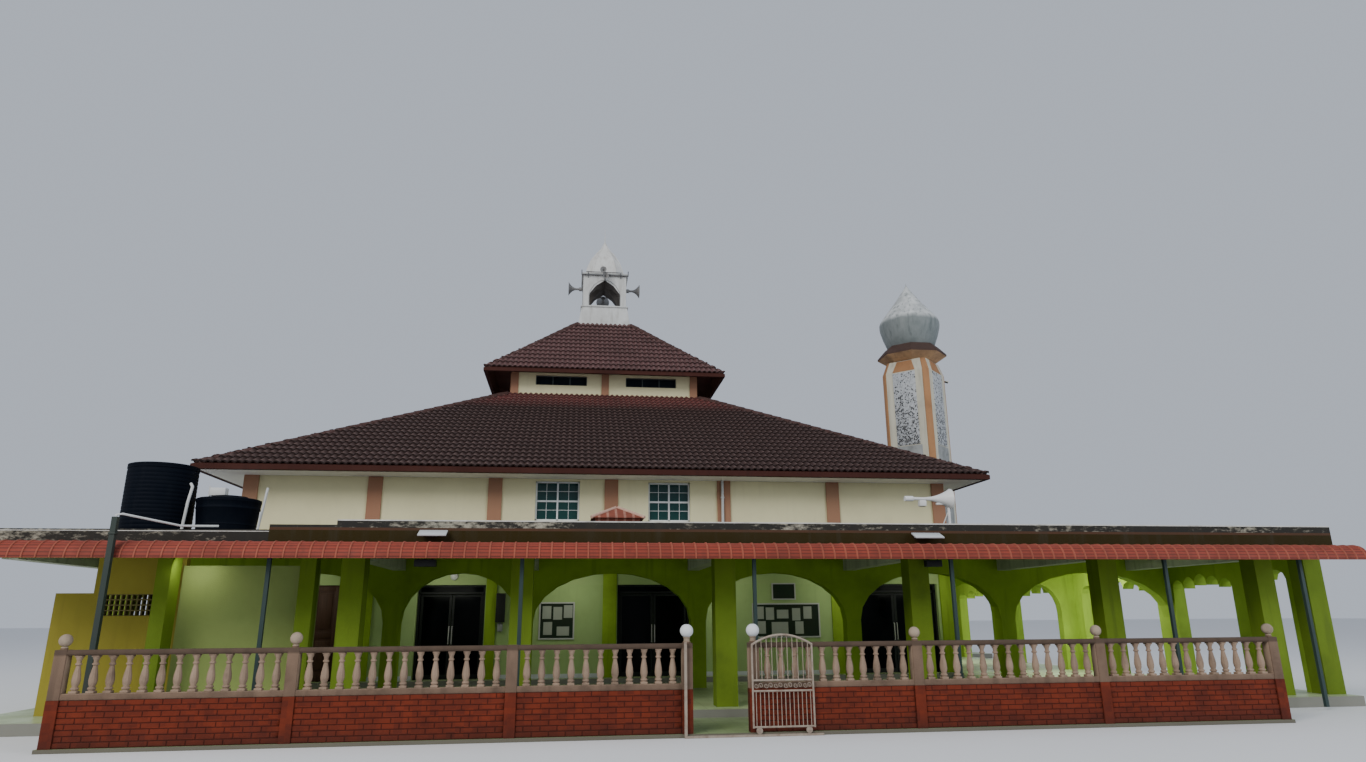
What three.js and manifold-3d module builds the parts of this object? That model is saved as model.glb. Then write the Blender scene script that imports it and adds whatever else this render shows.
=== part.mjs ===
import * as THREE from 'three';
import { mergeVertices } from 'three/addons/utils/BufferGeometryUtils.js';
import Module from 'manifold-3d';

const wasm = await Module();
wasm.setup();

// Driving dimensions, millimetres. Origin: centre of the hall at ground level, +Y to the back.

// Floors
const APRON_TOP = 50;
const VERANDAH_FLOOR = 180;
const HALL_FLOOR = 300;

// Verandah outline
const LEFT = -10500;
const RIGHT = 13800;
const LOW_EDGE_TO = -5980;
const LOW_EDGE_TOP = 3120;
const FRONT = -15200;
const WING_BACK = 3300;
const SLAB_BOTTOM = 3000;
const SLAB_TOP = 3200;
const COPING_TOP = 3320;

// Hall
const HALL = 8800;
const WALL = 250;
const WALL_TOP = 5050;
const DOOR_HEAD = 2460;
const PILASTER = 340;
const WINDOW_Z = [4010, 5000];
const FRONT_WINDOWS = [[-1890, -790], [940, 2010]];

// Roofs
const EAVE = 9700;
const EAVE_TOP = 5160;
const TIER = 3060;
const TIER_WALL = 200;
const TIER_BASE = 8700;
const TIER_TOP = 9450;
const UPPER_EAVE = 3880;
const UPPER_EAVE_TOP = 9340;

// Cupola
const CUPOLA_FOOT = 940;
const CUPOLA_BASE = 11900;
const LANTERN = 790;
const SILL = 850;
const LEDGE = 845;
const LEDGE_TOP = 13980;
const DOME_CORNER = 0.42;
const PIPE = 20;
const HORN_Z = 13640;
const PIPE_LINE = 840;

// Water tanks, centres
const BIG_TANK = [-9200, -12000];
const SMALL_TANK = [-7870, -12000];

// Minaret
const MINARET_X = 14130;
const MINARET_Y = 5000;
const SHAFT = 1080;
const SHAFT_CORNER = 0.24;
const SHAFT_SHOULDER = 12050;
const SHAFT_TOP = 12600;
const EIGHTH_TURN = Math.PI / 4;

// Fence and gate
const FENCE_Y = -17100;
const BASE_TOP = 660;
const RAIL_TOP = 1310;
const LEFT_POSTS = [-7830, -4800, -1770, 790];
const RIGHT_POSTS = [1800, 4360, 7390, 10420];
const BALUSTERS = [13, 13, 11];

// Doors of the front wall: left side, right side
const DOORS = { a: [-4570, -2980], b: [190, 1980], c: [6190, 8400] };
const BROWN_DOOR = [-7600, -6360];

// Solids

function solid(geometry) {
  geometry.deleteAttribute('normal');
  geometry.deleteAttribute('uv');
  const merged = mergeVertices(geometry, 1e-3);
  return new wasm.Manifold(new wasm.Mesh({
    numProp: 3,
    vertProperties: new Float32Array(merged.attributes.position.array),
    triVerts: new Uint32Array(merged.index.array),
  }));
}

function join(parts) {
  return parts.reduce((all, part) => all.add(part));
}

function cut(body, holes) {
  return holes.reduce((rest, hole) => rest.subtract(hole), body);
}

// Closed skin through rings of equal point count, each counter-clockwise seen from above.
function loft(rings) {
  const n = rings[0].length;
  const position = rings.flat(2);
  const index = [];
  for (let r = 0; r + 1 < rings.length; r += 1) {
    for (let i = 0; i < n; i += 1) {
      const a = r * n + i;
      const b = r * n + (i + 1) % n;
      index.push(a, b, b + n, a, b + n, a + n);
    }
  }
  const last = (rings.length - 1) * n;
  for (let i = 1; i + 1 < n; i += 1) {
    index.push(0, i + 1, i);
    index.push(last, last + i, last + i + 1);
  }
  const geometry = new THREE.BufferGeometry();
  geometry.setAttribute('position', new THREE.Float32BufferAttribute(position, 3));
  geometry.setIndex(index);
  return solid(geometry);
}

function box(x0, x1, y0, y1, z0, z1) {
  const ring = (z) => [[x0, y0, z], [x1, y0, z], [x1, y1, z], [x0, y1, z]];
  return loft([ring(z0), ring(z1)]);
}

function square(half, z, x = 0, y = 0) {
  return [[x - half, y - half, z], [x + half, y - half, z], [x + half, y + half, z], [x - half, y + half, z]];
}

// Square with cut corners; cutting by 0.586 of the half makes a regular octagon.
function octagon(half, z, x = 0, y = 0, corner = 0.5858, turn = 0) {
  const s = half * (1 - corner);
  const c = Math.cos(turn);
  const d = Math.sin(turn);
  return [[-s, -half], [s, -half], [half, -s], [half, s], [s, half], [-s, half], [-half, s], [-half, -s]]
    .map(([u, v]) => [x + u * c - v * d, y + u * d + v * c, z]);
}

function circle(radius, z, x, y, n) {
  return Array.from({ length: n }, (_, i) => {
    const a = (i / n) * Math.PI * 2;
    return [x + radius * Math.cos(a), y + radius * Math.sin(a), z];
  });
}

// Ring-shaped wall round the origin, outer and inner half widths.
function frameRing(outer, inner, z0, z1) {
  const hole = box(-inner, inner, -inner, inner, z0 - 10, z1 + 10);
  return box(-outer, outer, -outer, outer, z0, z1).subtract(hole);
}

// A flat outline given in (along, up), pushed through a wall that runs along X or along Y.
function through(points, axis, from, to) {
  const shape = new THREE.Shape(points.map(([s, t]) => new THREE.Vector2(s, t)));
  const geometry = new THREE.ExtrudeGeometry(shape, { depth: to - from, bevelEnabled: false });
  const p = geometry.attributes.position;
  for (let i = 0; i < p.count; i += 1) {
    const [s, t, d] = [p.getX(i), p.getY(i), p.getZ(i)];
    if (axis === 'x') p.setXYZ(i, s, to - d, t);
    else p.setXYZ(i, from + d, s, t);
  }
  return solid(geometry);
}

// Opening with straight sides to the springing and an elliptic head.
function archOutline(s0, s1, floor, spring, crown, steps = 12) {
  const half = (s1 - s0) / 2;
  const points = [[s0, floor], [s1, floor]];
  for (let i = 0; i <= steps; i += 1) {
    const a = (i / steps) * Math.PI;
    points.push([s0 + half + half * Math.cos(a), spring + (crown - spring) * Math.sin(a)]);
  }
  return points;
}

// Opening whose head is a row of round lobes that climbs to the middle.
function lobedOutline(s0, s1, floor, spring, lobes = 5) {
  const width = (s1 - s0) / lobes;
  const points = [[s0, floor], [s1, floor]];
  for (let k = lobes - 1; k >= 0; k -= 1) {
    const lift = 120 * (1 - Math.abs(k - (lobes - 1) / 2) / ((lobes - 1) / 2));
    for (let i = 0; i <= 5; i += 1) {
      const a = (i / 5) * Math.PI;
      points.push([s0 + width * (k + 0.5) + 0.5 * width * Math.cos(a), spring + lift + 200 * Math.sin(a)]);
    }
  }
  return points.filter((p, i) => i === 0 || Math.hypot(p[0] - points[i - 1][0], p[1] - points[i - 1][1]) > 1);
}

// Turned body on an upright axis, from profile points (radius, height).
function turned(profile, x, y, z, n) {
  const geometry = new THREE.LatheGeometry(profile.map(([r, h]) => new THREE.Vector2(r, h)), n);
  const p = geometry.attributes.position;
  for (let i = 0; i < p.count; i += 1) p.setXYZ(i, x + p.getX(i), y - p.getZ(i), z + p.getY(i));
  return solid(geometry);
}

// Horn loudspeaker: throat at the first point, mouth at the end of the given reach.
function horn(x, y, z, dx, dy, reach, mouth) {
  const steps = [[0, 0.22], [0.3, 0.26], [0.7, 0.55], [1, 1]];
  const side = [-dy, dx];
  const n = 10;
  const rings = steps.map(([along, size]) => Array.from({ length: n }, (_, i) => {
    const a = (i / n) * Math.PI * 2;
    const u = Math.cos(a) * mouth * size;
    const v = Math.sin(a) * mouth * size;
    return [x + dx * reach * along + side[0] * u, y + dy * reach * along + side[1] * u, z + v];
  }));
  return loft(rings);
}

const part = new THREE.Group();
part.name = 'mosque';

function add(name, body, color, roughness = 0.8, metalness = 0) {
  const mesh = body.getMesh();
  const geometry = new THREE.BufferGeometry();
  geometry.setAttribute('position', new THREE.BufferAttribute(new Float32Array(mesh.vertProperties), 3));
  geometry.setIndex(new THREE.BufferAttribute(new Uint32Array(mesh.triVerts), 1));
  const flat = geometry.toNonIndexed();
  flat.computeVertexNormals();
  const node = new THREE.Mesh(flat, new THREE.MeshStandardMaterial({ color, roughness, metalness }));
  node.name = name;
  part.add(node);
}

const CREAM = 0xd9d2ae;
const WHITE = 0xdfe0da;
const GREEN = 0x86a528;
const PALE_GREEN = 0xa9c283;
const TILE = 0x553a34;
const CONCRETE = 0xa39083;
const BRICK = 0x93412f;
const GLASS = 0x14322f;

// Floors: verandah slab with the hall platform and the pad of the minaret

add('plinth', join([
  box(LEFT, RIGHT, FRONT, HALL, 0, VERANDAH_FLOOR),
  box(-HALL, HALL, -HALL - 300, HALL, 100, HALL_FLOOR),
  box(12500, 15800, 3400, 6600, 0, VERANDAH_FLOOR),
]), 0xb9b8ae, 0.6);
add('apron', box(-7950, 10540, FENCE_Y - 100, FRONT, 0, APRON_TOP), 0x9fb09a, 0.6);

// Hall walls. The front one is split beside and over its doorways.

const Y0 = -HALL;
const Y1 = -HALL + WALL;
const doorEdges = [-HALL, ...BROWN_DOOR, ...DOORS.a, ...DOORS.b, ...DOORS.c, HALL];
for (let i = 0; i < doorEdges.length; i += 2) {
  const pier = box(doorEdges[i], doorEdges[i + 1], Y0, Y1, HALL_FLOOR, DOOR_HEAD);
  add(`hall_front_pier_${i / 2 + 1}`, pier, PALE_GREEN);
}

// Pilasters at the ends of six equal bays, on one side of the hall
function pilasters(side) {
  return [0, 1, 2, 3, 4, 5, 6].map((i) => {
    const c = -HALL + PILASTER / 2 + (i * (2 * HALL - PILASTER)) / 6;
    const [s0, s1] = [Math.round(c - PILASTER / 2), Math.round(c + PILASTER / 2)];
    if (side === 'front') return box(s0, s1, -HALL - 50, -HALL + 10, SLAB_TOP, WALL_TOP);
    if (side === 'back') return box(s0, s1, HALL - 10, HALL + 50, SLAB_TOP, WALL_TOP);
    if (side === 'left') return box(-HALL - 50, -HALL + 10, s0, s1, SLAB_TOP, WALL_TOP);
    return box(HALL - 10, HALL + 50, s0, s1, SLAB_TOP, WALL_TOP);
  });
}

add('hall_front_wall_upper', cut(
  join([box(-HALL, HALL, Y0, Y1, DOOR_HEAD, WALL_TOP), ...pilasters('front')]),
  FRONT_WINDOWS.map(([a, b]) => box(a, b, Y0 - 100, Y1 + 100, ...WINDOW_Z)),
), CREAM);

const sideWindows = FRONT_WINDOWS.flatMap(([a, b]) => [
  box(-HALL - 100, -HALL + WALL + 100, a, b, ...WINDOW_Z),
  box(HALL - WALL - 100, HALL + 100, a, b, ...WINDOW_Z),
  box(a, b, HALL - WALL - 100, HALL + 100, ...WINDOW_Z),
]);
add('hall_side_and_back_walls', cut(join([
  box(-HALL, -HALL + WALL, Y1, HALL, HALL_FLOOR, WALL_TOP),
  box(HALL - WALL, HALL, Y1, HALL, HALL_FLOOR, WALL_TOP),
  box(-HALL, HALL, HALL - WALL, HALL, HALL_FLOOR, WALL_TOP),
  ...['left', 'right', 'back'].flatMap((side) => pilasters(side).slice(side === 'back' ? 0 : 1)),
]), sideWindows), CREAM);
add('hall_window_glass', frameRing(HALL - WALL, HALL - WALL - 20, 3900, 5040), GLASS, 0.1);

// Lower hip roof, its white soffit, and the raised tier

add('lower_soffit', frameRing(EAVE - 140, 8400, WALL_TOP, 5110), WHITE);
add('lower_roof', cut(
  loft([square(EAVE, WALL_TOP), square(EAVE, EAVE_TOP), square(TIER, TIER_BASE)]),
  [loft([
    square(EAVE - 140, WALL_TOP - 10),
    square(EAVE - 140, 5110),
    square(TIER - TIER_WALL, 8601),
    square(TIER - TIER_WALL, TIER_BASE + 10),
  ])],
), TILE, 0.75);

const tierWindows = [[-2270, -600], [680, 2360]].flatMap(([a, b]) => [
  box(a, b, -TIER - 100, TIER + 100, 9040, 9370),
  box(-TIER - 100, TIER + 100, a, b, 9040, 9370),
]);
const TIER_PILASTERS = [-TIER + 120, 0, TIER - 120];
const tierPilaster = (c, side) => {
  const [near, far] = side < 0 ? [-TIER - 40, -TIER + 10] : [TIER - 10, TIER + 40];
  return [c - 120, c + 120, near, far, TIER_BASE + 20, TIER_TOP];
};
for (const [name, side] of [['front', -1], ['back', 1]]) {
  const [near, far] = side < 0 ? [-TIER, -TIER + TIER_WALL] : [TIER - TIER_WALL, TIER];
  const posts = TIER_PILASTERS.map((c) => box(...tierPilaster(c, side)));
  const wall = box(-TIER, TIER, near, far, TIER_BASE, TIER_TOP);
  add(`tier_wall_${name}`, cut(join([wall, ...posts]), tierWindows), CREAM);
}
for (const [name, side] of [['left', -1], ['right', 1]]) {
  const [near, far] = side < 0 ? [-TIER, -TIER + TIER_WALL] : [TIER - TIER_WALL, TIER];
  const wall = box(near, far, -TIER + TIER_WALL, TIER - TIER_WALL, TIER_BASE, TIER_TOP);
  const posts = TIER_PILASTERS.map((c) => {
    const [a, b, n, f, z0, z1] = tierPilaster(c, side);
    return box(n, f, Math.max(a, -TIER + TIER_WALL), Math.min(b, TIER - TIER_WALL), z0, z1);
  });
  add(`tier_wall_${name}`, cut(join([wall, ...posts]), tierWindows), CREAM);
}
add('tier_window_glass', frameRing(TIER - TIER_WALL, TIER - TIER_WALL - 20, 8990, 9440), GLASS, 0.1);
add('upper_roof', cut(
  loft([square(UPPER_EAVE, 9250), square(UPPER_EAVE, UPPER_EAVE_TOP), square(CUPOLA_FOOT, CUPOLA_BASE)]),
  [
    loft([square(UPPER_EAVE - 100, 9240), square(UPPER_EAVE - 250, TIER_TOP)]),
    loft([square(3500, TIER_TOP + 50), square(760, 11830)]),
    box(-2860, 2860, -2860, 2860, TIER_TOP - 10, TIER_TOP + 60),
  ],
), TILE, 0.75);

// Cupola: flared foot, open lantern with four arches, faceted dome, horn loudspeakers on pipes

const lanternArch = [
  [-565, 12730], [565, 12730], [565, 13180], [330, 13500], [0, 13730], [-330, 13500], [-565, 13180],
];
add('cupola_lantern', cut(join([
  loft([square(CUPOLA_FOOT, CUPOLA_BASE), square(830, 12640)]),
  box(-SILL, SILL, -SILL, SILL, 12630, 12700),
  box(-LANTERN, LANTERN, -LANTERN, LANTERN, 12690, 13910),
  box(-LEDGE, LEDGE, -LEDGE, LEDGE, 13900, LEDGE_TOP),
]), [through(lanternArch, 'x', -1000, 1000), through(lanternArch, 'y', -1000, 1000)]), WHITE);

const domeProfile = [
  [700, 0], [690, 200], [630, 420], [590, 580], [480, 820], [330, 1070], [150, 1320], [40, 1560], [8, 2160],
];
const domeRings = domeProfile.map(([r, h]) => octagon(r, LEDGE_TOP + h, 0, 0, DOME_CORNER));
add('cupola_dome', loft(domeRings), WHITE, 0.6);

const pipeTop = LEDGE_TOP + 2 * PIPE;
add('cupola_horns', join([
  frameRing(PIPE_LINE + PIPE, PIPE_LINE - PIPE, LEDGE_TOP, pipeTop),
  ...[[-1, 0], [1, 0], [0, 1]].flatMap(([dx, dy]) => {
    const [x, y] = [dx * 1000, dy * 1000];
    return [
      box(Math.min(x, dx * PIPE_LINE) - PIPE, Math.max(x, dx * PIPE_LINE) + PIPE,
        Math.min(y, dy * PIPE_LINE) - PIPE, Math.max(y, dy * PIPE_LINE) + PIPE, LEDGE_TOP, pipeTop),
      box(x - PIPE, x + PIPE, y - PIPE, y + PIPE, HORN_Z - 50, pipeTop - PIPE),
      horn(dx * 830, dy * 830, HORN_Z, dx, dy, 510, 260),
    ];
  }),
  box(-PIPE, PIPE, -1000 - PIPE, -PIPE_LINE, LEDGE_TOP, pipeTop),
  box(-PIPE, PIPE, -1000 - PIPE, -1000 + PIPE, 13650, 14130),
  horn(0, -950, 14040, 0, -1, 300, 125),
  horn(0, -950, 13760, 0, -1, 300, 125),
]), 0xd6d6cf, 0.5);

// Minaret: a square shaft set cornerwise with cut corners, sloped in under an eight-sided eave

const shaftRing = (half, z) => octagon(half, z, MINARET_X, MINARET_Y, SHAFT_CORNER, EIGHTH_TURN);
const eaveRing = (half, z) => octagon(half, z, MINARET_X, MINARET_Y);
const shaft = loft([
  shaftRing(SHAFT, VERANDAH_FLOOR), shaftRing(SHAFT, SHAFT_SHOULDER), shaftRing(SHAFT - 170, SHAFT_TOP),
]);
const spout = box(MINARET_X + 1200, MINARET_X + 1640, MINARET_Y - 30, MINARET_Y + 30, 11820, 11880);
add('minaret_shaft', cut(
  shaft.add(spout),
  [loft([shaftRing(SHAFT - 200, 170), shaftRing(SHAFT - 200, 11900), shaftRing(700, SHAFT_TOP + 10)])],
), 0xe3ddc0);
add('minaret_canopy', cut(
  loft([eaveRing(960, SHAFT_TOP), eaveRing(1400, 12880), eaveRing(1400, 12960), eaveRing(1080, 13330)]),
  [loft([eaveRing(690, SHAFT_TOP - 10), eaveRing(690, 13200)])],
), 0x6f4b38);
add('minaret_dome', turned([
  [0, 2850], [1210, 1180], [1250, 1120], [900, 0], [1000, 0], [1340, 1080], [1335, 1230], [1150, 1520],
  [600, 2250], [60, 3050], [30, 3090], [12, 3240], [0, 3240],
], MINARET_X, MINARET_Y, 13330, 24), 0xc2c7c0, 0.6);

// Verandah: columns and beam, arcades, screens

const COLUMNS = [-4660, -1800, 1800, 5450, 9230, 12530, 13600];
const COLUMN = 190;
const BEAM_BACK = -14450;
add('front_colonnade', join([
  box(LEFT, RIGHT, -14850, BEAM_BACK, 2720, SLAB_BOTTOM),
  ...COLUMNS.map((x) => box(x - COLUMN, x + COLUMN, -14840, -14460, VERANDAH_FLOOR, 2800)),
  box(-7800, -7570, -14840, -14460, VERANDAH_FLOOR, 2800),
  box(-5560, -5300, -14720, -14460, VERANDAH_FLOOR, 2800),
]), GREEN);

const INNER_COLUMNS = [-10250, -8100, -4750, -1930, 1900, 5500, 9250, 13595];
add('inner_arcade', cut(
  box(LEFT, 13750, -10750, -10450, VERANDAH_FLOOR, SLAB_BOTTOM),
  INNER_COLUMNS.slice(1).map((x, i) => through(
    archOutline(INNER_COLUMNS[i] + 170, x - 170, 100, 1600, 2650), 'x', -10800, -10400,
  )),
), GREEN);

const SIDE_BAYS = [[-10250, -7050], [-6350, -3050], [-2450, 850], [1450, 2950]];

function sideArcade(name, x0, x1, bays) {
  const wall = box(x0, x1, -10450, WING_BACK, VERANDAH_FLOOR, SLAB_BOTTOM);
  const holes = bays.map(([a, b]) => through(lobedOutline(a, b, 100, 2250), 'y', x0 - 50, x1 + 50));
  add(name, cut(wall, holes), GREEN);
}
sideArcade('right_arcade', 13450, 13750, SIDE_BAYS);
sideArcade('left_arcade', LEFT + 50, LEFT + 350, SIDE_BAYS);
add('right_porch_arcade', cut(
  box(13450, 13750, -14450, -10750, VERANDAH_FLOOR, SLAB_BOTTOM),
  [
    through(lobedOutline(-14300, -13200, 100, 2350, 2), 'y', 13400, 13800),
    through(lobedOutline(-12800, -10900, 100, 2250), 'y', 13400, 13800),
  ],
), GREEN);
const crossArch = ([a, b]) => through(archOutline(a, b, 100, 1750, 2550), 'x', -6750, -6400);
add('wing_cross_arcade', cut(
  box(HALL, 13450, -6700, -6450, VERANDAH_FLOOR, SLAB_BOTTOM),
  [[9500, 11000], [11500, 13000]].map(crossArch),
), GREEN);

// Pale green store at the left and the yellow wall beside it
add('store_walls', cut(
  box(-7600, -5600, -14300, -13300, VERANDAH_FLOOR, 2600),
  [box(-7500, -5700, -14200, -13200, 170, 2500)],
), PALE_GREEN);
add('yellow_wall', cut(
  box(-9680, -7650, -14100, -13950, VERANDAH_FLOOR, SLAB_BOTTOM),
  [box(-8980, -7760, -14200, -13900, 1770, 2130), box(-9700, -9080, -14200, -13900, 2150, SLAB_BOTTOM + 10)],
), 0xa8941c);

// Flat roof over the verandah, open round the hall

const CROSS_BEAMS = [-10300, -4660, -1800, 1800, 5450, 9230, 12530];
const CROSS_BEAM_BOTTOM = 2700;
const crossBeam = (x) => box(x - 130, x + 130, BEAM_BACK + 0.3, -10750.3, CROSS_BEAM_BOTTOM, SLAB_BOTTOM + 10);
const slabOutline = (inset, z0, z1) => cut(
  box(LEFT + inset, RIGHT - inset, FRONT + inset, WING_BACK - inset, z0, z1),
  [box(-HALL, HALL, -HALL, WING_BACK + 100, z0 - 10, z1 + 10)],
);
add('verandah_roof', cut(join([
  slabOutline(0, SLAB_BOTTOM, SLAB_TOP),
  slabOutline(0, SLAB_TOP - 10, COPING_TOP)
    .subtract(box(LEFT + 200, RIGHT - 200, FRONT + 200, WING_BACK - 200, SLAB_TOP - 20, COPING_TOP + 10)),
  box(LEFT, RIGHT, FRONT, FRONT + 150, 2900, SLAB_BOTTOM + 10),
  ...CROSS_BEAMS.map(crossBeam),
]), [
  box(LEFT - 10, LOW_EDGE_TO, FRONT - 10, -11000, SLAB_TOP, COPING_TOP + 10),
  box(LEFT - 10, LOW_EDGE_TO, FRONT - 10, FRONT + 600, LOW_EDGE_TOP, COPING_TOP + 10),
  box(LOW_EDGE_TO - 10, -4900, FRONT - 10, FRONT + 210, SLAB_TOP + 30, COPING_TOP + 10),
]), 0x6b675a, 0.9);
add('small_hip_roof', loft([[400, SLAB_TOP], [400, 3400], [480, 3410], [20, 3640]]
  .map(([half, z]) => square(half, z, -150, -14500))), 0x9c5240);
add('roof_horn', join([
  box(6270, 6330, -14530, -14470, SLAB_TOP, 3760),
  horn(5430, -14500, 3870, 1, 0, 920, 200),
]), 0xdedede, 0.4);

// Water tanks with lids

const TANK = 0x14161d;
add('big_tank', turned([
  [0, 0], [620, 0], [640, 200], [620, 230], [640, 260], [640, 600], [620, 630], [640, 660], [640, 1000],
  [620, 1030], [640, 1060], [640, 1450], [605, 1450], [595, 30], [0, 30],
], ...BIG_TANK, SLAB_TOP, 24), TANK, 0.5);
add('big_tank_lid', turned([
  [0, 0], [640, 0], [640, 40], [240, 90], [0, 100],
], ...BIG_TANK, SLAB_TOP + 1450, 24), TANK);
add('small_tank', turned([
  [0, 0], [520, 0], [600, 800], [570, 800], [490, 30], [0, 30],
], ...SMALL_TANK, SLAB_TOP, 20), TANK, 0.5);
add('small_tank_lid', turned([
  [0, 0], [600, 0], [600, 30], [0, 110],
], ...SMALL_TANK, SLAB_TOP + 800, 20), TANK);

// Bullnose awning on slender posts

const awningOutline = () => {
  const outer = [[FRONT, 2920], [-15680, 2920]];
  const inner = [[FRONT, 2900], [-15680, 2900]];
  for (let i = 1; i <= 8; i += 1) {
    const a = (i / 8) * Math.PI * 0.5;
    outer.push([-15680 - 270 * Math.sin(a), 2630 + 290 * Math.cos(a)]);
    inner.push([-15680 - 250 * Math.sin(a), 2630 + 270 * Math.cos(a)]);
  }
  return [...outer, ...inner.reverse()].reverse();
};
add('awning', through(awningOutline(), 'y', LEFT, RIGHT), 0xb5574a, 0.5);
const AWNING_POSTS = [-5780, -1770, 2170, 5740, 9860, 12610];
add('awning_frame', join([
  box(LEFT + 50, RIGHT - 50, -15640, -15580, 2820, 2900),
  ...AWNING_POSTS.map((x) => box(x - 30, x + 30, -15640, -15580, APRON_TOP, 2830)),
]), 0x5f7f80, 0.5, 0.4);
add('corner_post', box(-8045, -7965, -16030, -15950.3, 0, 3250), 0x2f3b38, 0.5, 0.4);

// Fence: brick base with post feet, then posts, rails and balusters above

const POST = 80;
const balusterProfile = [
  [0, -10], [55, -10], [50, 70], [32, 110], [58, 230], [30, 400], [46, 470], [46, 510], [0, 510],
];

function fenceBase(name, posts) {
  add(name, join([
    box(posts[0], posts[3], FENCE_Y - 55, FENCE_Y + 55, APRON_TOP, BASE_TOP),
    ...posts.map((x) => box(x - POST, x + POST, FENCE_Y - POST, FENCE_Y + POST, APRON_TOP, BASE_TOP)),
  ]), BRICK);
}

function fenceRun(name, posts, counts, lampPost, barePost) {
  const pieces = [
    box(posts[0], posts[3], FENCE_Y - 70, FENCE_Y + 70, BASE_TOP, 740),
    box(posts[0], posts[3], FENCE_Y - 75, FENCE_Y + 75, 1240, RAIL_TOP),
  ];
  posts.forEach((x, i) => {
    const lamp = i === lampPost;
    pieces.push(box(x - POST, x + POST, FENCE_Y - POST, FENCE_Y + POST, BASE_TOP, RAIL_TOP));
    if (i === barePost) return;
    const [neck, r] = lamp ? [90, 100] : [40, 85];
    pieces.push(turned([[0, -10], [45, -10], [45, neck], [r * 0.7, neck + r * 0.2], [r, neck + r * 0.8],
      [r * 0.75, neck + r * 1.45], [0, neck + r * 1.8]], x, FENCE_Y, RAIL_TOP, 10));
  });
  for (let b = 0; b < 3; b += 1) {
    const step = (posts[b + 1] - posts[b]) / (counts[b] + 1);
    for (let k = 1; k <= counts[b]; k += 1) {
      pieces.push(turned(balusterProfile, posts[b] + k * step, FENCE_Y, 740, 6));
    }
  }
  add(name, join(pieces), CONCRETE, 0.9);
}

fenceBase('fence_base_left', LEFT_POSTS);
fenceBase('fence_base_right', RIGHT_POSTS);
fenceRun('fence_run_left', LEFT_POSTS, BALUSTERS, 3, 2);
fenceRun('fence_run_right', RIGHT_POSTS, [...BALUSTERS].reverse(), 0);

// Sliding gate, drawn open in front of the right-hand run, with its ground rail and catch post

const GATE = [1740, 2690];
const GATE_Y = [-17245, -17215];
const gateHead = (x) => 1290 + 150 * (1 - ((x - 2215) / 475) ** 2);
const gateArch = () => {
  const top = [];
  const low = [];
  for (let i = 0; i <= 10; i += 1) {
    const x = GATE[0] + (i * (GATE[1] - GATE[0])) / 10;
    top.push([x, gateHead(x)]);
    low.push([x, gateHead(x) - 35]);
  }
  return [...low, ...top.reverse()];
};
const gateBars = (count, z0, z1) => Array.from({ length: count }, (_, i) => {
  const x = GATE[0] + ((i + 1) * (GATE[1] - GATE[0])) / (count + 1);
  return box(x - 8, x + 8, GATE_Y[0] + 7, GATE_Y[1] - 7, z0, typeof z1 === 'function' ? z1(x) - 15 : z1);
});
add('gate_leaf', join([
  through(gateArch(), 'x', GATE_Y[0], GATE_Y[1]),
  box(GATE[0], GATE[0] + 30, GATE_Y[0], GATE_Y[1], 110, 1280),
  box(GATE[1] - 30, GATE[1], GATE_Y[0], GATE_Y[1], 110, 1280),
  ...[[110, 145], [610, 640], [760, 790]].map(([a, b]) => box(GATE[0], GATE[1], GATE_Y[0], GATE_Y[1], a, b)),
  ...gateBars(14, 120, 620),
  ...gateBars(9, 770, gateHead),
  ...[1840, 2590].map((x) => loft([-10, 10].map((d) => Array.from({ length: 12 }, (_, i) => {
    const a = (i / 12) * Math.PI * 2;
    return [x + 47.7 * Math.cos(a), -17230 - d, 78 + 47.7 * Math.sin(a)];
  })))),
]), 0xc9bdb0, 0.4, 0.6);
add('gate_track', join([
  box(800, 2800, -17260, -17200, 0, 30),
  box(735, 775, -17250, -17200, 0, 1330),
  box(735, 810, -17260, -17200, 0, 30),
]), 0x8d8a84, 0.5, 0.5);

// Doors: frame with a fixed light above, and two leaves that open into the hall

const LEAF_TOP = 2242;
for (const [key, [x0, x1]] of Object.entries(DOORS)) {
  const mid = (x0 + x1) / 2;
  add(`door_frame_${key}`, cut(
    box(x0, x1, -8680, Y1, HALL_FLOOR, DOOR_HEAD),
    [
      box(x0 + 60, x1 - 60, -8700, -8500, HALL_FLOOR - 10, 2250),
      box(x0 + 60, x1 - 60, -8700, -8600, 2300, 2410),
    ],
  ), 0x2c332f, 0.5);
  const pivot = (x) => loft([circle(5, HALL_FLOOR + 0.3, x, Y1, 8), circle(5, 2249.7, x, Y1, 8)]);
  const leaf = (a, b) => box(a, b, -8600, Y1, HALL_FLOOR + 8, LEAF_TOP);
  add(`door_${key}_left`, leaf(x0 + 68, mid - 6).add(pivot(x0 + 68)), 0x0d1512, 0.15);
  add(`door_${key}_right`, leaf(mid + 6, x1 - 68).add(pivot(x1 - 68)), 0x0d1512, 0.15);
}
add('brown_door', box(BROWN_DOOR[0], BROWN_DOOR[1], -8680, -8600, HALL_FLOOR, DOOR_HEAD), 0x3a231a, 0.6);

export default part;
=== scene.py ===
import math
from functools import partial

import bpy
from mathutils import Matrix, Vector


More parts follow.
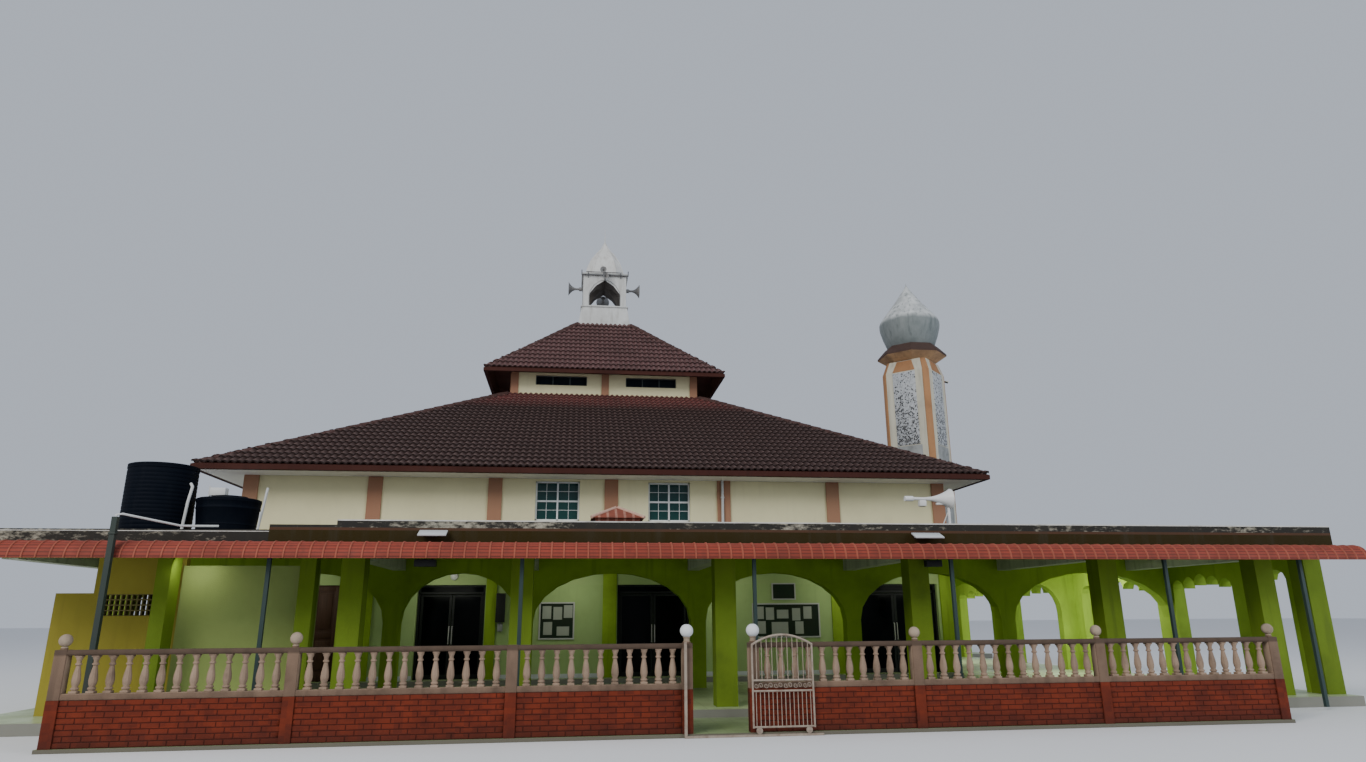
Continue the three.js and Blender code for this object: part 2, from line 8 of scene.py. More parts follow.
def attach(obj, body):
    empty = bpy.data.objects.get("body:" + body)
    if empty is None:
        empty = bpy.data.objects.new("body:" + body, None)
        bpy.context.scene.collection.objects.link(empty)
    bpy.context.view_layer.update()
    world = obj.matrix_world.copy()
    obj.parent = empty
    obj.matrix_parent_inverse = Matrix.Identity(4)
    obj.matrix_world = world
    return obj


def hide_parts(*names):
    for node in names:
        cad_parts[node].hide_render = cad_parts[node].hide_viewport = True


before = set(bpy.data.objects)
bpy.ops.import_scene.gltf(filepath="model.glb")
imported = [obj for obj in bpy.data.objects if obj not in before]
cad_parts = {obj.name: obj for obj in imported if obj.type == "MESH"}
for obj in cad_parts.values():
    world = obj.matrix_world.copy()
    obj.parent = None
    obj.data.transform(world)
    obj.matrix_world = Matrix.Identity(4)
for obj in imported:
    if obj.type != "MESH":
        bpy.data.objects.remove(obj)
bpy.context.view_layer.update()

bpy.ops.object.select_all(action="DESELECT")

# Camera: a hand-held view from the road, 13 m in front of the fence and a step left of the hall's
# centre line, tilted up to take in the lantern and the minaret.
EYE = Vector((-0.965, -30.33, 1.70))
PITCH = math.radians(15.45)
YAW = math.radians(7.44)
ROLL = math.radians(-0.40)
LENS_WIDTHS = 0.623

forward = Vector((math.sin(YAW) * math.cos(PITCH), math.cos(YAW) * math.cos(PITCH), math.sin(PITCH)))
level = Vector((math.cos(YAW), -math.sin(YAW), 0))
upward = level.cross(forward)
across = level * math.cos(ROLL) + upward * math.sin(ROLL)
upright = upward * math.cos(ROLL) - level * math.sin(ROLL)
bpy.ops.object.camera_add()
camera = bpy.context.object
camera.data.sensor_width = 36
camera.data.lens = 36 * LENS_WIDTHS
camera.data.clip_end = 300
camera.matrix_world = Matrix.Translation(EYE) @ Matrix((across, upright, -forward)).transposed().to_4x4()
bpy.context.scene.camera = camera

# Studio: a pale sheet of floor, a broad key light from the front left, a weaker one from the right,
# small soft lamps under the verandah roof, and an even pale surround.
bpy.ops.mesh.primitive_plane_add(size=400, location=(0, 0, -0.002))
floor_sheet = bpy.context.object
floor_sheet.name = "studio_floor"
paper = bpy.data.materials.new("studio_paper")
paper.use_nodes = True
paper.node_tree.nodes["Principled BSDF"].inputs["Base Color"].default_value = (0.72, 0.73, 0.74, 1)
paper.node_tree.nodes["Principled BSDF"].inputs["Roughness"].default_value = 0.9
floor_sheet.data.materials.append(paper)
surround = bpy.data.worlds.new("studio_surround")
surround.use_nodes = True
surround.node_tree.nodes["Background"].inputs["Color"].default_value = (0.80, 0.87, 1.0, 1)
surround.node_tree.nodes["Background"].inputs["Strength"].default_value = 0.62
bpy.context.scene.world = surround


def softbox(place, target, size, power, tint):
    bpy.ops.object.light_add(type="AREA", location=place)
    lamp = bpy.context.object
    lamp.data.shape = "SQUARE"
    lamp.data.size = size
    lamp.data.energy = power
    lamp.data.color = tint
    lamp.visible_camera = False
    lamp.rotation_euler = (Vector(target) - Vector(place)).to_track_quat("-Z", "Y").to_euler()


softbox((-26, -46, 30), (0, -6, 4), 22, 17000, (1.0, 0.96, 0.90))
softbox((34, -40, 16), (4, -6, 4), 22, 6000, (0.92, 0.96, 1.0))
for x in (-7.3, -3.9, -1.0, 2.6, 5.6, 8.0):
    softbox((x, -10.0, 2.55), (x + 0.2, -8.8, 1.4), 1.0, 8.5, (1.0, 1.0, 0.88))
softbox((-7.3, -14.8, 2.6), (-7.4, -14.3, 2.2), 0.4, 4, (1.0, 1.0, 0.88))
for x in (10.4, 12.0):
    softbox((x, -8.6, 2.50), (13.4, -8.6, 0.8), 0.9, 60, (1.0, 1.0, 0.90))
softbox((11.4, -2.0, 2.50), (13.4, -2.0, 0.8), 0.9, 90, (1.0, 1.0, 0.90))


# Weathered paint: rolled masonry paint on render. Rain leaves streaks, dust collects in patches and
# the sand of the render gives a fine grain. Every masonry finish takes its marks from this group.
def place_node(tree, kind, inputs=None, **settings):
    node = tree.nodes.new(kind)
    for key, value in settings.items():
        setattr(node, key, value)
    for key, value in (inputs or {}).items():
        if isinstance(value, bpy.types.NodeSocket):
            tree.links.new(value, node.inputs[key])
        else:
            node.inputs[key].default_value = value
    return node


def noise(place, scale, detail, rough=0.5):
    return place_node(place.id_data, "ShaderNodeTexNoise", {
        "Vector": place, "Scale": scale, "Detail": detail, "Roughness": rough}).outputs["Fac"]


def ramp(value, start, end, low=0.0, high=1.0):
    return place_node(value.id_data, "ShaderNodeMapRange", {
        "Value": value, "From Min": start, "From Max": end, "To Min": low, "To Max": high}).outputs["Result"]


def scaled(place, factors):
    return place_node(place.id_data, "ShaderNodeVectorMath", {0: place, 1: factors},
                      operation="MULTIPLY").outputs[0]


def calc(operation, a, b=0.0):
    tree = (a if isinstance(a, bpy.types.NodeSocket) else b).id_data
    return place_node(tree, "ShaderNodeMath", {0: a, 1: b}, operation=operation).outputs[0]


times = partial(calc, "MULTIPLY")
divide = partial(calc, "DIVIDE")
plus = partial(calc, "ADD")
minus = partial(calc, "SUBTRACT")
less = partial(calc, "LESS_THAN")
more = partial(calc, "GREATER_THAN")
larger = partial(calc, "MAXIMUM")
size_of = partial(calc, "ABSOLUTE")
fraction = partial(calc, "FRACT")


def mix(factor, *colours):
    base, over = (c if isinstance(c, bpy.types.NodeSocket) else (*c, 1) for c in colours)
    return place_node(factor.id_data, "ShaderNodeMix", {0: factor, 6: base, 7: over},
                      data_type="RGBA").outputs[2]


def parts_of(place):
    return place_node(place.id_data, "ShaderNodeSeparateXYZ", {0: place}).outputs[:]


weathering = bpy.data.node_groups.new("weathering", "ShaderNodeTree")
weathering.interface.new_socket("Place", in_out="INPUT", socket_type="NodeSocketVector")
weathering.interface.new_socket("Patch Size", in_out="INPUT", socket_type="NodeSocketFloat")
weathering.interface.new_socket("Grain Size", in_out="INPUT", socket_type="NodeSocketFloat")
for mark in ("Patches", "Streaks", "Grain"):
    weathering.interface.new_socket(mark, in_out="OUTPUT", socket_type="NodeSocketFloat")
way_in = place_node(weathering, "NodeGroupInput").outputs
way_out = place_node(weathering, "NodeGroupOutput").inputs
for mark, source in (("Patches", noise(way_in["Place"], way_in["Patch Size"], 7.0, 0.62)),
                     ("Streaks", noise(scaled(way_in["Place"], (7.0, 7.0, 0.55)), 1.0, 4.0)),
                     ("Grain", noise(way_in["Place"], way_in["Grain Size"], 3.0))):
    weathering.links.new(ramp(source, 0.32, 0.68), way_out[mark])


def start_finish(name, rough):
    finish = bpy.data.materials.new(name)
    finish.use_nodes = True
    shader = finish.node_tree.nodes["Principled BSDF"]
    shader.inputs["Roughness"].default_value = rough
    shader.inputs["Specular IOR Level"].default_value = 0.2
    return finish, shader, place_node(finish.node_tree, "ShaderNodeTexCoord").outputs["Object"]


def weather(shader, place, colour, dirt, patches=0.35, streaks=0.2, patch_size=0.9, grain_size=60.0,
            bump=0.25, rough_spread=0.15):
    tree = place.id_data
    marks = place_node(tree, "ShaderNodeGroup", {}, node_tree=weathering)
    tree.links.new(place, marks.inputs["Place"])
    marks.inputs["Patch Size"].default_value = patch_size
    marks.inputs["Grain Size"].default_value = grain_size
    patchy = times(calc("POWER", marks.outputs["Patches"], 1.6), patches)
    streaky = times(calc("POWER", marks.outputs["Streaks"], 2.0), streaks)
    grainy = plus(larger(patchy, streaky), times(marks.outputs["Grain"], 0.06))
    tree.links.new(mix(grainy, colour, dirt), shader.inputs["Base Color"])
    spread = calc("MULTIPLY_ADD", marks.outputs["Patches"], rough_spread)
    spread.node.inputs[2].default_value = shader.inputs["Roughness"].default_value - rough_spread / 2
    tree.links.new(spread, shader.inputs["Roughness"])
    relief = place_node(tree, "ShaderNodeBump", {
        "Height": marks.outputs["Grain"], "Strength": bump, "Distance": 0.004})
    tree.links.new(relief.outputs["Normal"], shader.inputs["Normal"])


def masonry(name, colour, dirt, rough=0.85, **marks):
    finish, shader, place = start_finish(name, rough)
    weather(shader, place, colour, dirt, **marks)
    return finish


def coat(node, finish):
    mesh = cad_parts[node].data
    mesh.materials.clear()
    mesh.materials.append(finish)


# Hall and tier walls: cream masonry paint with tan pilasters that stand a hand's breadth proud, so
# the paint changes where the wall steps out. Low down, at the verandah, the wall is pale green.
CREAM = (0.745, 0.705, 0.44)
TAN = (0.335, 0.165, 0.100)
PALE_GREEN = (0.36, 0.50, 0.20)
GREEN_UP_TO = 3.1
HALL_STEP_OUT = 8.803
TIER_STEP_OUT = 3.063


def wall_with_pilasters(name, step_out):
    finish, shader, place = start_finish(name, 0.85)
    x, y, z = parts_of(place)
    proud = more(larger(size_of(x), size_of(y)), step_out)
    colour = mix(less(z, GREEN_UP_TO), mix(proud, CREAM, TAN), PALE_GREEN)
    weather(shader, place, colour, (0.30, 0.25, 0.16), patches=0.20, streaks=0.10, patch_size=0.5)
    return finish


hall_paint = wall_with_pilasters("hall_cream_and_tan", HALL_STEP_OUT)
coat("hall_front_wall_upper", hall_paint)
coat("hall_side_and_back_walls", hall_paint)
tier_paint = wall_with_pilasters("tier_cream_and_tan", TIER_STEP_OUT)
for side in ("front", "back", "left", "right"):
    coat(f"tier_wall_{side}", tier_paint)

# Verandah back wall: five pieces of rendered wall between the doors, rolled in pale green, and the
# walls of the store behind it in a duller green.
pale_green = masonry("pale_green_paint", PALE_GREEN, (0.16, 0.20, 0.09), patches=0.3, streaks=0.2)
for number in range(1, 6):
    coat(f"hall_front_pier_{number}", pale_green)
coat("store_walls", masonry("store_green_paint", (0.27, 0.34, 0.105), (0.12, 0.15, 0.05), patches=0.3,
                            streaks=0.1))

# Verandah green: rendered piers, beams and arcades in lime green gone olive in the shade. The front
# colonnade takes the same green painted about half as dark, painted shade for the roof's shade over
# it, with a little more dust. The end wall at the left is painted ochre yellow.
lime_green = masonry("lime_green_paint", (0.28, 0.43, 0.040), (0.060, 0.085, 0.018),
                     patches=0.40, streaks=0.30, patch_size=0.7)
for node in ("inner_arcade", "right_arcade", "left_arcade", "right_porch_arcade", "wing_cross_arcade"):
    coat(node, lime_green)
# the front colonnade's green is halved as painted shade, with slightly heavier dust marks
coat("front_colonnade", masonry("lime_green_painted_shade_dusty", (0.145, 0.225, 0.016), (0.038, 0.052, 0.010),
                                patches=0.45, streaks=0.35, patch_size=0.7))
coat("yellow_wall", masonry("ochre_paint", (0.30, 0.255, 0.034), (0.10, 0.085, 0.02), patches=0.30,
                            streaks=0.2))


# Glass: teal sheets that close the hall's window openings and dark ones in the tier, set in frames,
# dusty and a little uneven.
def glazing(name, colour, dust, rough, gloss=0.25):
    finish, shader, place = start_finish(name, rough)
    weather(shader, place, colour, dust, patches=0.35, streaks=0.2, patch_size=1.4, bump=0.03)
    shader.inputs["Specular IOR Level"].default_value = gloss
    return finish


coat("hall_window_glass", glazing("teal_glass", (0.005, 0.028, 0.027), (0.02, 0.06, 0.055), 0.12))
coat("tier_window_glass", glazing("dark_glass", (0.008, 0.012, 0.018), (0.03, 0.04, 0.045), 0.15))

# Roof decks and eaves: brown painted fascia boards nailed under the tiles, and a white board soffit
# under the wide lower eave.
fascia_paint = masonry("fascia_brown", (0.055, 0.0165, 0.0115), (0.024, 0.010, 0.008), patches=0.5,
                       streaks=0.4)
coat("lower_roof", fascia_paint)
coat("upper_roof", fascia_paint)
coat("lower_soffit", masonry("soffit_boards", (0.93, 0.93, 0.93), (0.60, 0.58, 0.52), patches=0.12,
                             streaks=0.0))


# Roof tiles: concrete double-roll tiles in courses, each lapped over the one below, laid on the four
# slopes of each roof and cut along the hips. Dark brown, weathered, and red at the top of the lower
# roof; each roll is paler near its nose, part wear and part painted highlight, and each course is
# painted dark just under the nose of the one above as painted shadow. A roof is its half width at
# eave and top and its height at eave and top.
LOWER_ROOF = (9.70, 3.06, 5.16, 8.70)
UPPER_ROOF = (3.88, 0.94, 9.34, 11.90)
TILE_WIDTH = 0.33
TILE_GAUGE = 0.33
TILE_STEPS = 12
TILE_ROLL = (0.0, 0.024, 0.044, 0.044, 0.024, 0.0)
TILE_LAP = 0.036
TILE_LIFT = 0.01
TILE_NOSE = 0.046
ROLL_SHADE = 0.035
RED_BAND = (0.200, 0.065, 0.060)
ABOVE_ALL = 20.0
RED_FROM = 7.9
RED_TO = 8.4


def tile_finish(name, brown, red_from=ABOVE_ALL, red_to=ABOVE_ALL + 1.0, nose_line=None, rise_of_course=1.0):
    finish, shader, place = start_finish(name, 0.75)
    x, y, z = parts_of(place)
    body = mix(ramp(z, red_from, red_to), brown, RED_BAND)
    if nose_line is not None:
        facing_side = more(size_of(x), size_of(y))
        across = plus(times(facing_side, y), times(minus(1.0, facing_side), x))
        roll = size_of(calc("SINE", times(across, 2 * math.pi / TILE_WIDTH)))
        level = minus(minus(z, nose_line), times(roll, ROLL_SHADE))
        up = fraction(divide(level, rise_of_course))
        # painted highlight and wear: the crest of each roll is paler towards its nose
        worn = times(calc("POWER", roll, 2.0), ramp(up, 0.55, 0.05))
        body = mix(times(worn, 0.42), body, (0.300, 0.190, 0.160))
        # painted shadow: each course is darkened just under the nose of the course above
        body = mix(ramp(up, 0.62, 0.95, high=0.8), body, (0.010, 0.006, 0.006))
    weather(shader, place, body, (0.030, 0.020, 0.018), patches=0.45, streaks=0.40, patch_size=1.3,
            grain_size=22.0, bump=0.5)
    return finish


def pick(piece):
    bpy.ops.object.select_all(action="DESELECT")
    piece.select_set(True)
    bpy.context.view_layer.objects.active = piece


def edit(piece):
    pick(piece)
    bpy.ops.object.mode_set(mode="EDIT")
    bpy.ops.mesh.select_all(action="SELECT")


def leave_edit():
    bpy.ops.object.mode_set(mode="OBJECT")
    bpy.ops.object.select_all(action="DESELECT")


def apply_all(piece):
    pick(piece)
    for modifier in list(piece.modifiers):
        bpy.ops.object.modifier_apply(modifier=modifier.name)


def repeat(piece, offset, count, weld=False):
    array = piece.modifiers.new("row", "ARRAY")
    array.use_relative_offset = False
    array.use_constant_offset = True
    array.constant_offset_displace = offset
    array.count = count
    array.use_merge_vertices = weld
    array.merge_threshold = 0.0005
    apply_all(piece)


def seat(piece, matrix):
    piece.matrix_world = matrix
    pick(piece)
    bpy.ops.object.transform_apply(location=True, rotation=True, scale=True)
    bpy.ops.object.select_all(action="DESELECT")


def copy_of(piece, name, matrix):
    copy = piece.copy()
    copy.data = piece.data.copy()
    copy.name = name
    bpy.context.collection.objects.link(copy)
    seat(copy, matrix)
    return copy


def quarter_turn(quarter):
    return Matrix.Rotation(quarter * math.pi / 2, 4, "Z")


def belongs(piece, finish, body="building"):
    piece.data.materials.clear()
    piece.data.materials.append(finish)
    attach(piece, body)


def on_four_slopes(piece, finish):
    copies = [copy_of(piece, f"{piece.name}_{quarter + 1}", quarter_turn(quarter)) for quarter in (1, 2, 3)]
    for each in (piece, *copies):
        belongs(each, finish)


def tile_slope(name, roof, finish):
    eave_half, top_half, eave_z, top_z = roof
    rise = top_z - eave_z
    run = eave_half - top_half
    length = math.hypot(run, rise)
    bpy.ops.mesh.primitive_grid_add(x_subdivisions=TILE_STEPS, y_subdivisions=1, size=1)
    field = bpy.context.object
    field.name = name
    for v in field.data.vertices:
        step = round((v.co.x + 0.5) * TILE_STEPS)
        low = v.co.y < 0
        v.co.x = step * TILE_WIDTH / TILE_STEPS
        v.co.y = 0.0 if low else TILE_GAUGE
        v.co.z = TILE_ROLL[step % len(TILE_ROLL)] + (TILE_LAP if low else 0.0)
    edit(field)
    bpy.ops.mesh.select_all(action="DESELECT")
    leave_edit()
    for e in field.data.edges:
        e.select = all(field.data.vertices[i].co.y < 0.01 for i in e.vertices)
    for v in field.data.vertices:
        v.select = v.co.y < 0.01
    bpy.context.view_layer.objects.active = field
    bpy.ops.object.mode_set(mode="EDIT")
    bpy.ops.mesh.select_mode(type="EDGE")
    bpy.ops.mesh.extrude_region_move(TRANSFORM_OT_translate={"value": (0, 0, -TILE_LAP)})
    leave_edit()
    columns = math.ceil(2 * eave_half / TILE_WIDTH)
    repeat(field, (TILE_WIDTH, 0, 0), columns, weld=True)
    repeat(field, (0, TILE_GAUGE, 0), math.ceil(length / TILE_GAUGE))
    seat(field, Matrix.Translation((-columns * TILE_WIDTH / 2, 0, TILE_LIFT)))
    edit(field)
    for side in (-1, 1):
        bpy.ops.mesh.select_all(action="SELECT")
        bpy.ops.mesh.bisect(plane_co=(side * eave_half, 0, 0), plane_no=(side, run / length, 0),
                            clear_outer=True)
    bpy.ops.mesh.select_all(action="SELECT")
    bpy.ops.mesh.bisect(plane_co=(0, length, 0), plane_no=(0, 1, 0), clear_outer=True)
    leave_edit()
    foot = Matrix.Translation((0, TILE_NOSE - eave_half, eave_z + TILE_NOSE * rise / run))
    seat(field, foot @ Matrix.Rotation(math.atan2(rise, run), 4, "X"))
    on_four_slopes(field, finish)


lower_finish = tile_finish("lower_tile", (0.044, 0.023, 0.020), RED_FROM, RED_TO, nose_line=5.230,
                           rise_of_course=0.1553)
upper_finish = tile_finish("upper_tile", (0.128, 0.062, 0.060), nose_line=9.420, rise_of_course=0.2167)
tile_slope("lower_tiles", LOWER_ROOF, lower_finish)
tile_slope("upper_tiles", UPPER_ROOF, upper_finish)


# Hip tiles: half-round concrete caps, bedded on the cut tiles and lapped down each hip of both
# roofs, each cap narrower at its upper end.
CAP_LENGTH = 0.42
CAP_GAUGE = 0.36
CAP_TAPER = 0.82
CAP_INSET = 0.11
CAP_LIFT = 0.012


def hip_caps(name, roof):
    eave_half, top_half, eave_z, top_z = roof
    low = Vector((eave_half - CAP_INSET, CAP_INSET - eave_half, eave_z + CAP_LIFT))
    high = Vector((top_half, -top_half, top_z + CAP_LIFT))
    bpy.ops.mesh.primitive_cylinder_add(vertices=12, radius=0.115, depth=CAP_LENGTH, end_fill_type="NGON")
    cap = bpy.context.object
    cap.name = name
    edit(cap)
    bpy.ops.mesh.bisect(plane_co=(0, 0, 0), plane_no=(0, -1, 0), clear_outer=True, use_fill=True)
    leave_edit()
    for v in cap.data.vertices:
        if v.co.z > 0:
            v.co.x *= CAP_TAPER
            v.co.y *= CAP_TAPER
        v.co.z += CAP_LENGTH / 2
    repeat(cap, (0, 0, CAP_GAUGE), int((high - low).length / CAP_GAUGE))
    along = (high - low).normalized()
    side = along.cross(Vector((0, 0, 1))).normalized()
    face = side.cross(along).normalized()
    seat(cap, Matrix.Translation(low) @ Matrix((side * -1, face, along)).transposed().to_4x4())
    on_four_slopes(cap, ridge_finish)


ridge_finish = tile_finish("ridge_tile", (0.080, 0.041, 0.036))
hip_caps("lower_hip", LOWER_ROOF)
hip_caps("upper_hip", UPPER_ROOF)


# Fence: vase balusters, posts, rails and balls cast in concrete, bedded on the brick base. Rain has
# darkened the rails. White globe lamps stand on the two posts of the gateway.
FENCE_LINE = -17.10
POST_HALF = 0.08
BASE_TOP = 0.66
RAIL_TOP = 1.31
LEFT_POSTS = (-7.83, -4.80, -1.77, 0.79)
RIGHT_POSTS = (1.80, 4.36, 7.39, 10.42)
LEFT_COUNTS = (13, 13, 11)
RIGHT_COUNTS = (11, 13, 13)
RAIL_FROM = 1.225
RAIL_FULL = 1.25
CAP_FROM = 1.335
VASE_DEPTH = 0.064
VASE = ((0.042, 0.030), (0.040, 0.045), (0.053, 0.055), (0.053, 0.072), (0.038, 0.082), (0.038, 0.094),
        (0.050, 0.125), (0.056, 0.170), (0.050, 0.235), (0.036, 0.310), (0.027, 0.362), (0.042, 0.372),
        (0.042, 0.390), (0.029, 0.400), (0.033, 0.435), (0.047, 0.460), (0.047, 0.480))


def smooth(piece, degrees=35):
    pick(piece)
    bpy.ops.object.shade_smooth_by_angle(angle=math.radians(degrees))
    bpy.ops.object.select_all(action="DESELECT")


def lathe(name, rings, sides, matrix=None):
    radius, height = rings[0]
    bpy.ops.mesh.primitive_circle_add(vertices=sides, radius=radius, fill_type="NGON",
                                      location=(0, 0, height))
    piece = bpy.context.object
    piece.name = name
    bpy.ops.object.transform_apply(location=True)
    edit(piece)
    for next_radius, next_height in rings[1:]:
        bpy.ops.mesh.extrude_region_move(TRANSFORM_OT_translate={"value": (0, 0, next_height - height)})
        grow = next_radius / radius
        bpy.ops.transform.resize(value=(grow, grow, 1), center_override=(0, 0, next_height))
        radius, height = next_radius, next_height
    bpy.ops.mesh.select_all(action="SELECT")
    bpy.ops.mesh.normals_make_consistent(inside=False)
    leave_edit()
    seat(piece, matrix or Matrix())
    smooth(piece)
    return piece


def eased(piece, soften, steps=2):
    ease = piece.modifiers.new("eased edges", "BEVEL")
    ease.width = soften
    ease.segments = steps
    apply_all(piece)
    smooth(piece)
    return piece


def beam(name, low, high, soften=0.008, steps=2):
    middle = [(a + b) / 2 for a, b in zip(low, high)]
    bpy.ops.mesh.primitive_cube_add(size=1, location=middle)
    piece = bpy.context.object
    piece.name = name
    piece.scale = [b - a for a, b in zip(low, high)]
    bpy.ops.object.transform_apply(location=True, scale=True)
    return eased(piece, soften, steps)


def joined(name, pieces):
    bpy.ops.object.select_all(action="DESELECT")
    for piece in pieces:
        piece.select_set(True)
    bpy.context.view_layer.objects.active = pieces[0]
    bpy.ops.object.join()
    whole = bpy.context.object
    whole.name = name
    bpy.ops.object.select_all(action="DESELECT")
    return whole


def fence_finish():
    finish, shader, place = start_finish("cast_concrete_weathered", 0.88)
    y, z = parts_of(place)[1:]
    rail = ramp(z, RAIL_FROM, RAIL_FULL)
    slim = less(size_of(plus(y, -FENCE_LINE)), VASE_DEPTH)
    clean = mix(times(slim, minus(1.0, rail)), (0.185, 0.122, 0.084), (0.345, 0.245, 0.175))
    clean = mix(more(z, CAP_FROM), clean, (0.38, 0.30, 0.22))
    clean = mix(times(times(rail, less(z, RAIL_TOP + 0.002)), 0.60), clean, (0.030, 0.021, 0.016))
    weather(shader, place, clean, (0.045, 0.032, 0.024), patches=0.60, streaks=0.45, patch_size=2.2,
            grain_size=90.0, bump=0.5)
    return finish


concrete_finish = fence_finish()
globe_finish = masonry("globe_plastic", (0.66, 0.68, 0.70), (0.42, 0.42, 0.40), rough=0.4, patches=0.15,
                       streaks=0.1, bump=0.02)
baluster = joined("baluster", [
    lathe("vase", VASE, 10),
    beam("foot", (-0.052, -0.052, 0.0), (0.052, 0.052, 0.034), 0.006, 1),
    beam("head", (-0.048, -0.048, 0.474), (0.048, 0.048, 0.50), 0.005, 1),
])
ball_turns = [math.radians(20 + 14 * i) for i in range(12)]
ball = lathe("ball", [(0.045, 0.0), (0.045, 0.035), (0.030, 0.045)] + [
    (0.085 * math.sin(a), 0.125 - 0.085 * math.cos(a)) for a in ball_turns], 16)
collar = lathe("collar", [(0.060, 0.0), (0.062, 0.02), (0.045, 0.03), (0.045, 0.075), (0.055, 0.08),
                          (0.055, 0.09)], 16)
globe = lathe("globe", [(0.1 * math.sin(a), 0.178 - 0.098 * math.cos(a))
                        for a in [math.radians(14 + 12.5 * i) for i in range(13)]], 20)
for side, posts, counts, lamp_post in (("left", LEFT_POSTS, LEFT_COUNTS, 3),
                                       ("right", RIGHT_POSTS, RIGHT_COUNTS, 0)):
    run = [
        beam("lower_rail", (posts[0], FENCE_LINE - 0.07, BASE_TOP), (posts[3], FENCE_LINE + 0.07, 0.742),
             0.018, 2),
        beam("upper_rail", (posts[0], FENCE_LINE - 0.075, 1.238), (posts[3], FENCE_LINE + 0.075, RAIL_TOP),
             0.026, 3),
    ]
    for bay, count in enumerate(counts):
        step = (posts[bay + 1] - posts[bay]) / (count + 1)
        first = copy_of(baluster, "bay", Matrix.Translation((posts[bay] + step, FENCE_LINE, 0.741)))
        repeat(first, (step, 0, 0), count)
        run.append(first)
    for number, x in enumerate(posts):
        run.append(beam("post", (x - POST_HALF, FENCE_LINE - POST_HALF, BASE_TOP),
                        (x + POST_HALF, FENCE_LINE + POST_HALF, RAIL_TOP + 0.002), 0.008, 2))
        top = Matrix.Translation((x, FENCE_LINE, RAIL_TOP))
        if (side, number) != ("left", 2):
            run.append(copy_of(collar if number == lamp_post else ball, "post_top", top))
    whole = joined(f"fence_concrete_{side}", run)
    belongs(whole, concrete_finish)
    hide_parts(f"fence_run_{side}")
    lamp = copy_of(globe, f"gate_lamp_{side}", Matrix.Translation((posts[lamp_post], FENCE_LINE, RAIL_TOP)))
    belongs(lamp, globe_finish)
for pattern in (baluster, ball, collar, globe):
    bpy.data.objects.remove(pattern)


# Brick base: half-brick courses in running bond, all painted red. The joints are raked and have
# gathered dirt, and the foot of the wall is splashed dark.
BRICK = 0.24
COURSE = 0.076
JOINT = 0.012
BRICK_FROM = 0.058
BRICK_PROUD = 0.062
JOINT_PROUD = 0.0575


def at_random(spot):
    return place_node(spot.id_data, "ShaderNodeTexWhiteNoise", {"Vector": spot},
                      noise_dimensions="3D").outputs["Value"]


def brick_finish():
    finish, shader, place = start_finish("painted_brick", 0.8)
    x, y, z = parts_of(place)
    joint = times(less(size_of(plus(y, -FENCE_LINE)), JOINT_PROUD), 0.68)
    each = calc("FLOOR", divide(x, BRICK / 2))
    course = calc("FLOOR", divide(z, COURSE))
    spot = place_node(place.id_data, "ShaderNodeCombineXYZ", {0: each, 1: course}).outputs[0]
    shade = mix(at_random(spot), (0.178, 0.026, 0.0085), (0.122, 0.019, 0.0080))
    shade = mix(ramp(z, 0.30, 0.05, high=0.55), shade, (0.040, 0.014, 0.010))
    weather(shader, place, mix(joint, shade, (0.028, 0.008, 0.006)), (0.035, 0.012, 0.009), patches=0.45,
            streaks=0.25, patch_size=2.6, grain_size=120.0, bump=0.5)
    return finish


painted_brick = brick_finish()
coat("fence_base_left", painted_brick)
coat("fence_base_right", painted_brick)
for side, posts in (("left", LEFT_POSTS), ("right", RIGHT_POSTS)):
    faces = []
    for bay in range(3):
        start = posts[bay] + POST_HALF
        end = posts[bay + 1] - POST_HALF
        for shift in (0.0, BRICK / 2):
            low = (start - shift, FENCE_LINE - BRICK_PROUD, BRICK_FROM)
            high = (low[0] + BRICK - JOINT, FENCE_LINE + BRICK_PROUD, BRICK_FROM + COURSE - JOINT)
            brick = beam("brick", low, high, 0.004, 1)
            repeat(brick, (BRICK, 0, 0), int((end - start + shift) / BRICK) + 1)
            seat(brick, Matrix.Translation((0, 0, COURSE if shift else 0)))
            repeat(brick, (0, 0, 2 * COURSE), 4)
            edit(brick)
            for edge, way in ((start + 0.001, -1), (end - 0.001, 1)):
                bpy.ops.mesh.select_all(action="SELECT")
                bpy.ops.mesh.bisect(plane_co=(edge, 0, 0), plane_no=(way, 0, 0), clear_outer=True,
                                    use_fill=True)
            leave_edit()
            faces.append(brick)
    courses = joined(f"brick_courses_{side}", faces)
    belongs(courses, painted_brick)


# Sliding gate: round steel bars welded into a tube frame with an arched head and a band of scrolls,
# painted cream and worn. It rolls on two wheels along a ground rail and is drawn open.
GATE_LEFT = 1.740
GATE_RIGHT = 2.690
GATE_WIDTH = GATE_RIGHT - GATE_LEFT
GATE_MIDDLE = (GATE_LEFT + GATE_RIGHT) / 2
HEAD_SPRING = 1.272
HEAD_RISE = 0.150
LOWER_BARS = 14
UPPER_BARS = 11
SCROLLS = 6
SCROLL_SPACING = 0.1485
SCROLL_TURN = 7.2
SCROLL_STEPS = 14
WHEEL_PLACES = (1.84, 2.59)
WHEEL_Z = 0.078
GATE_Y = -17.230
GATE_BAR = 0.0065
BAND_LOW = 0.625
BAND_HIGH = 0.775


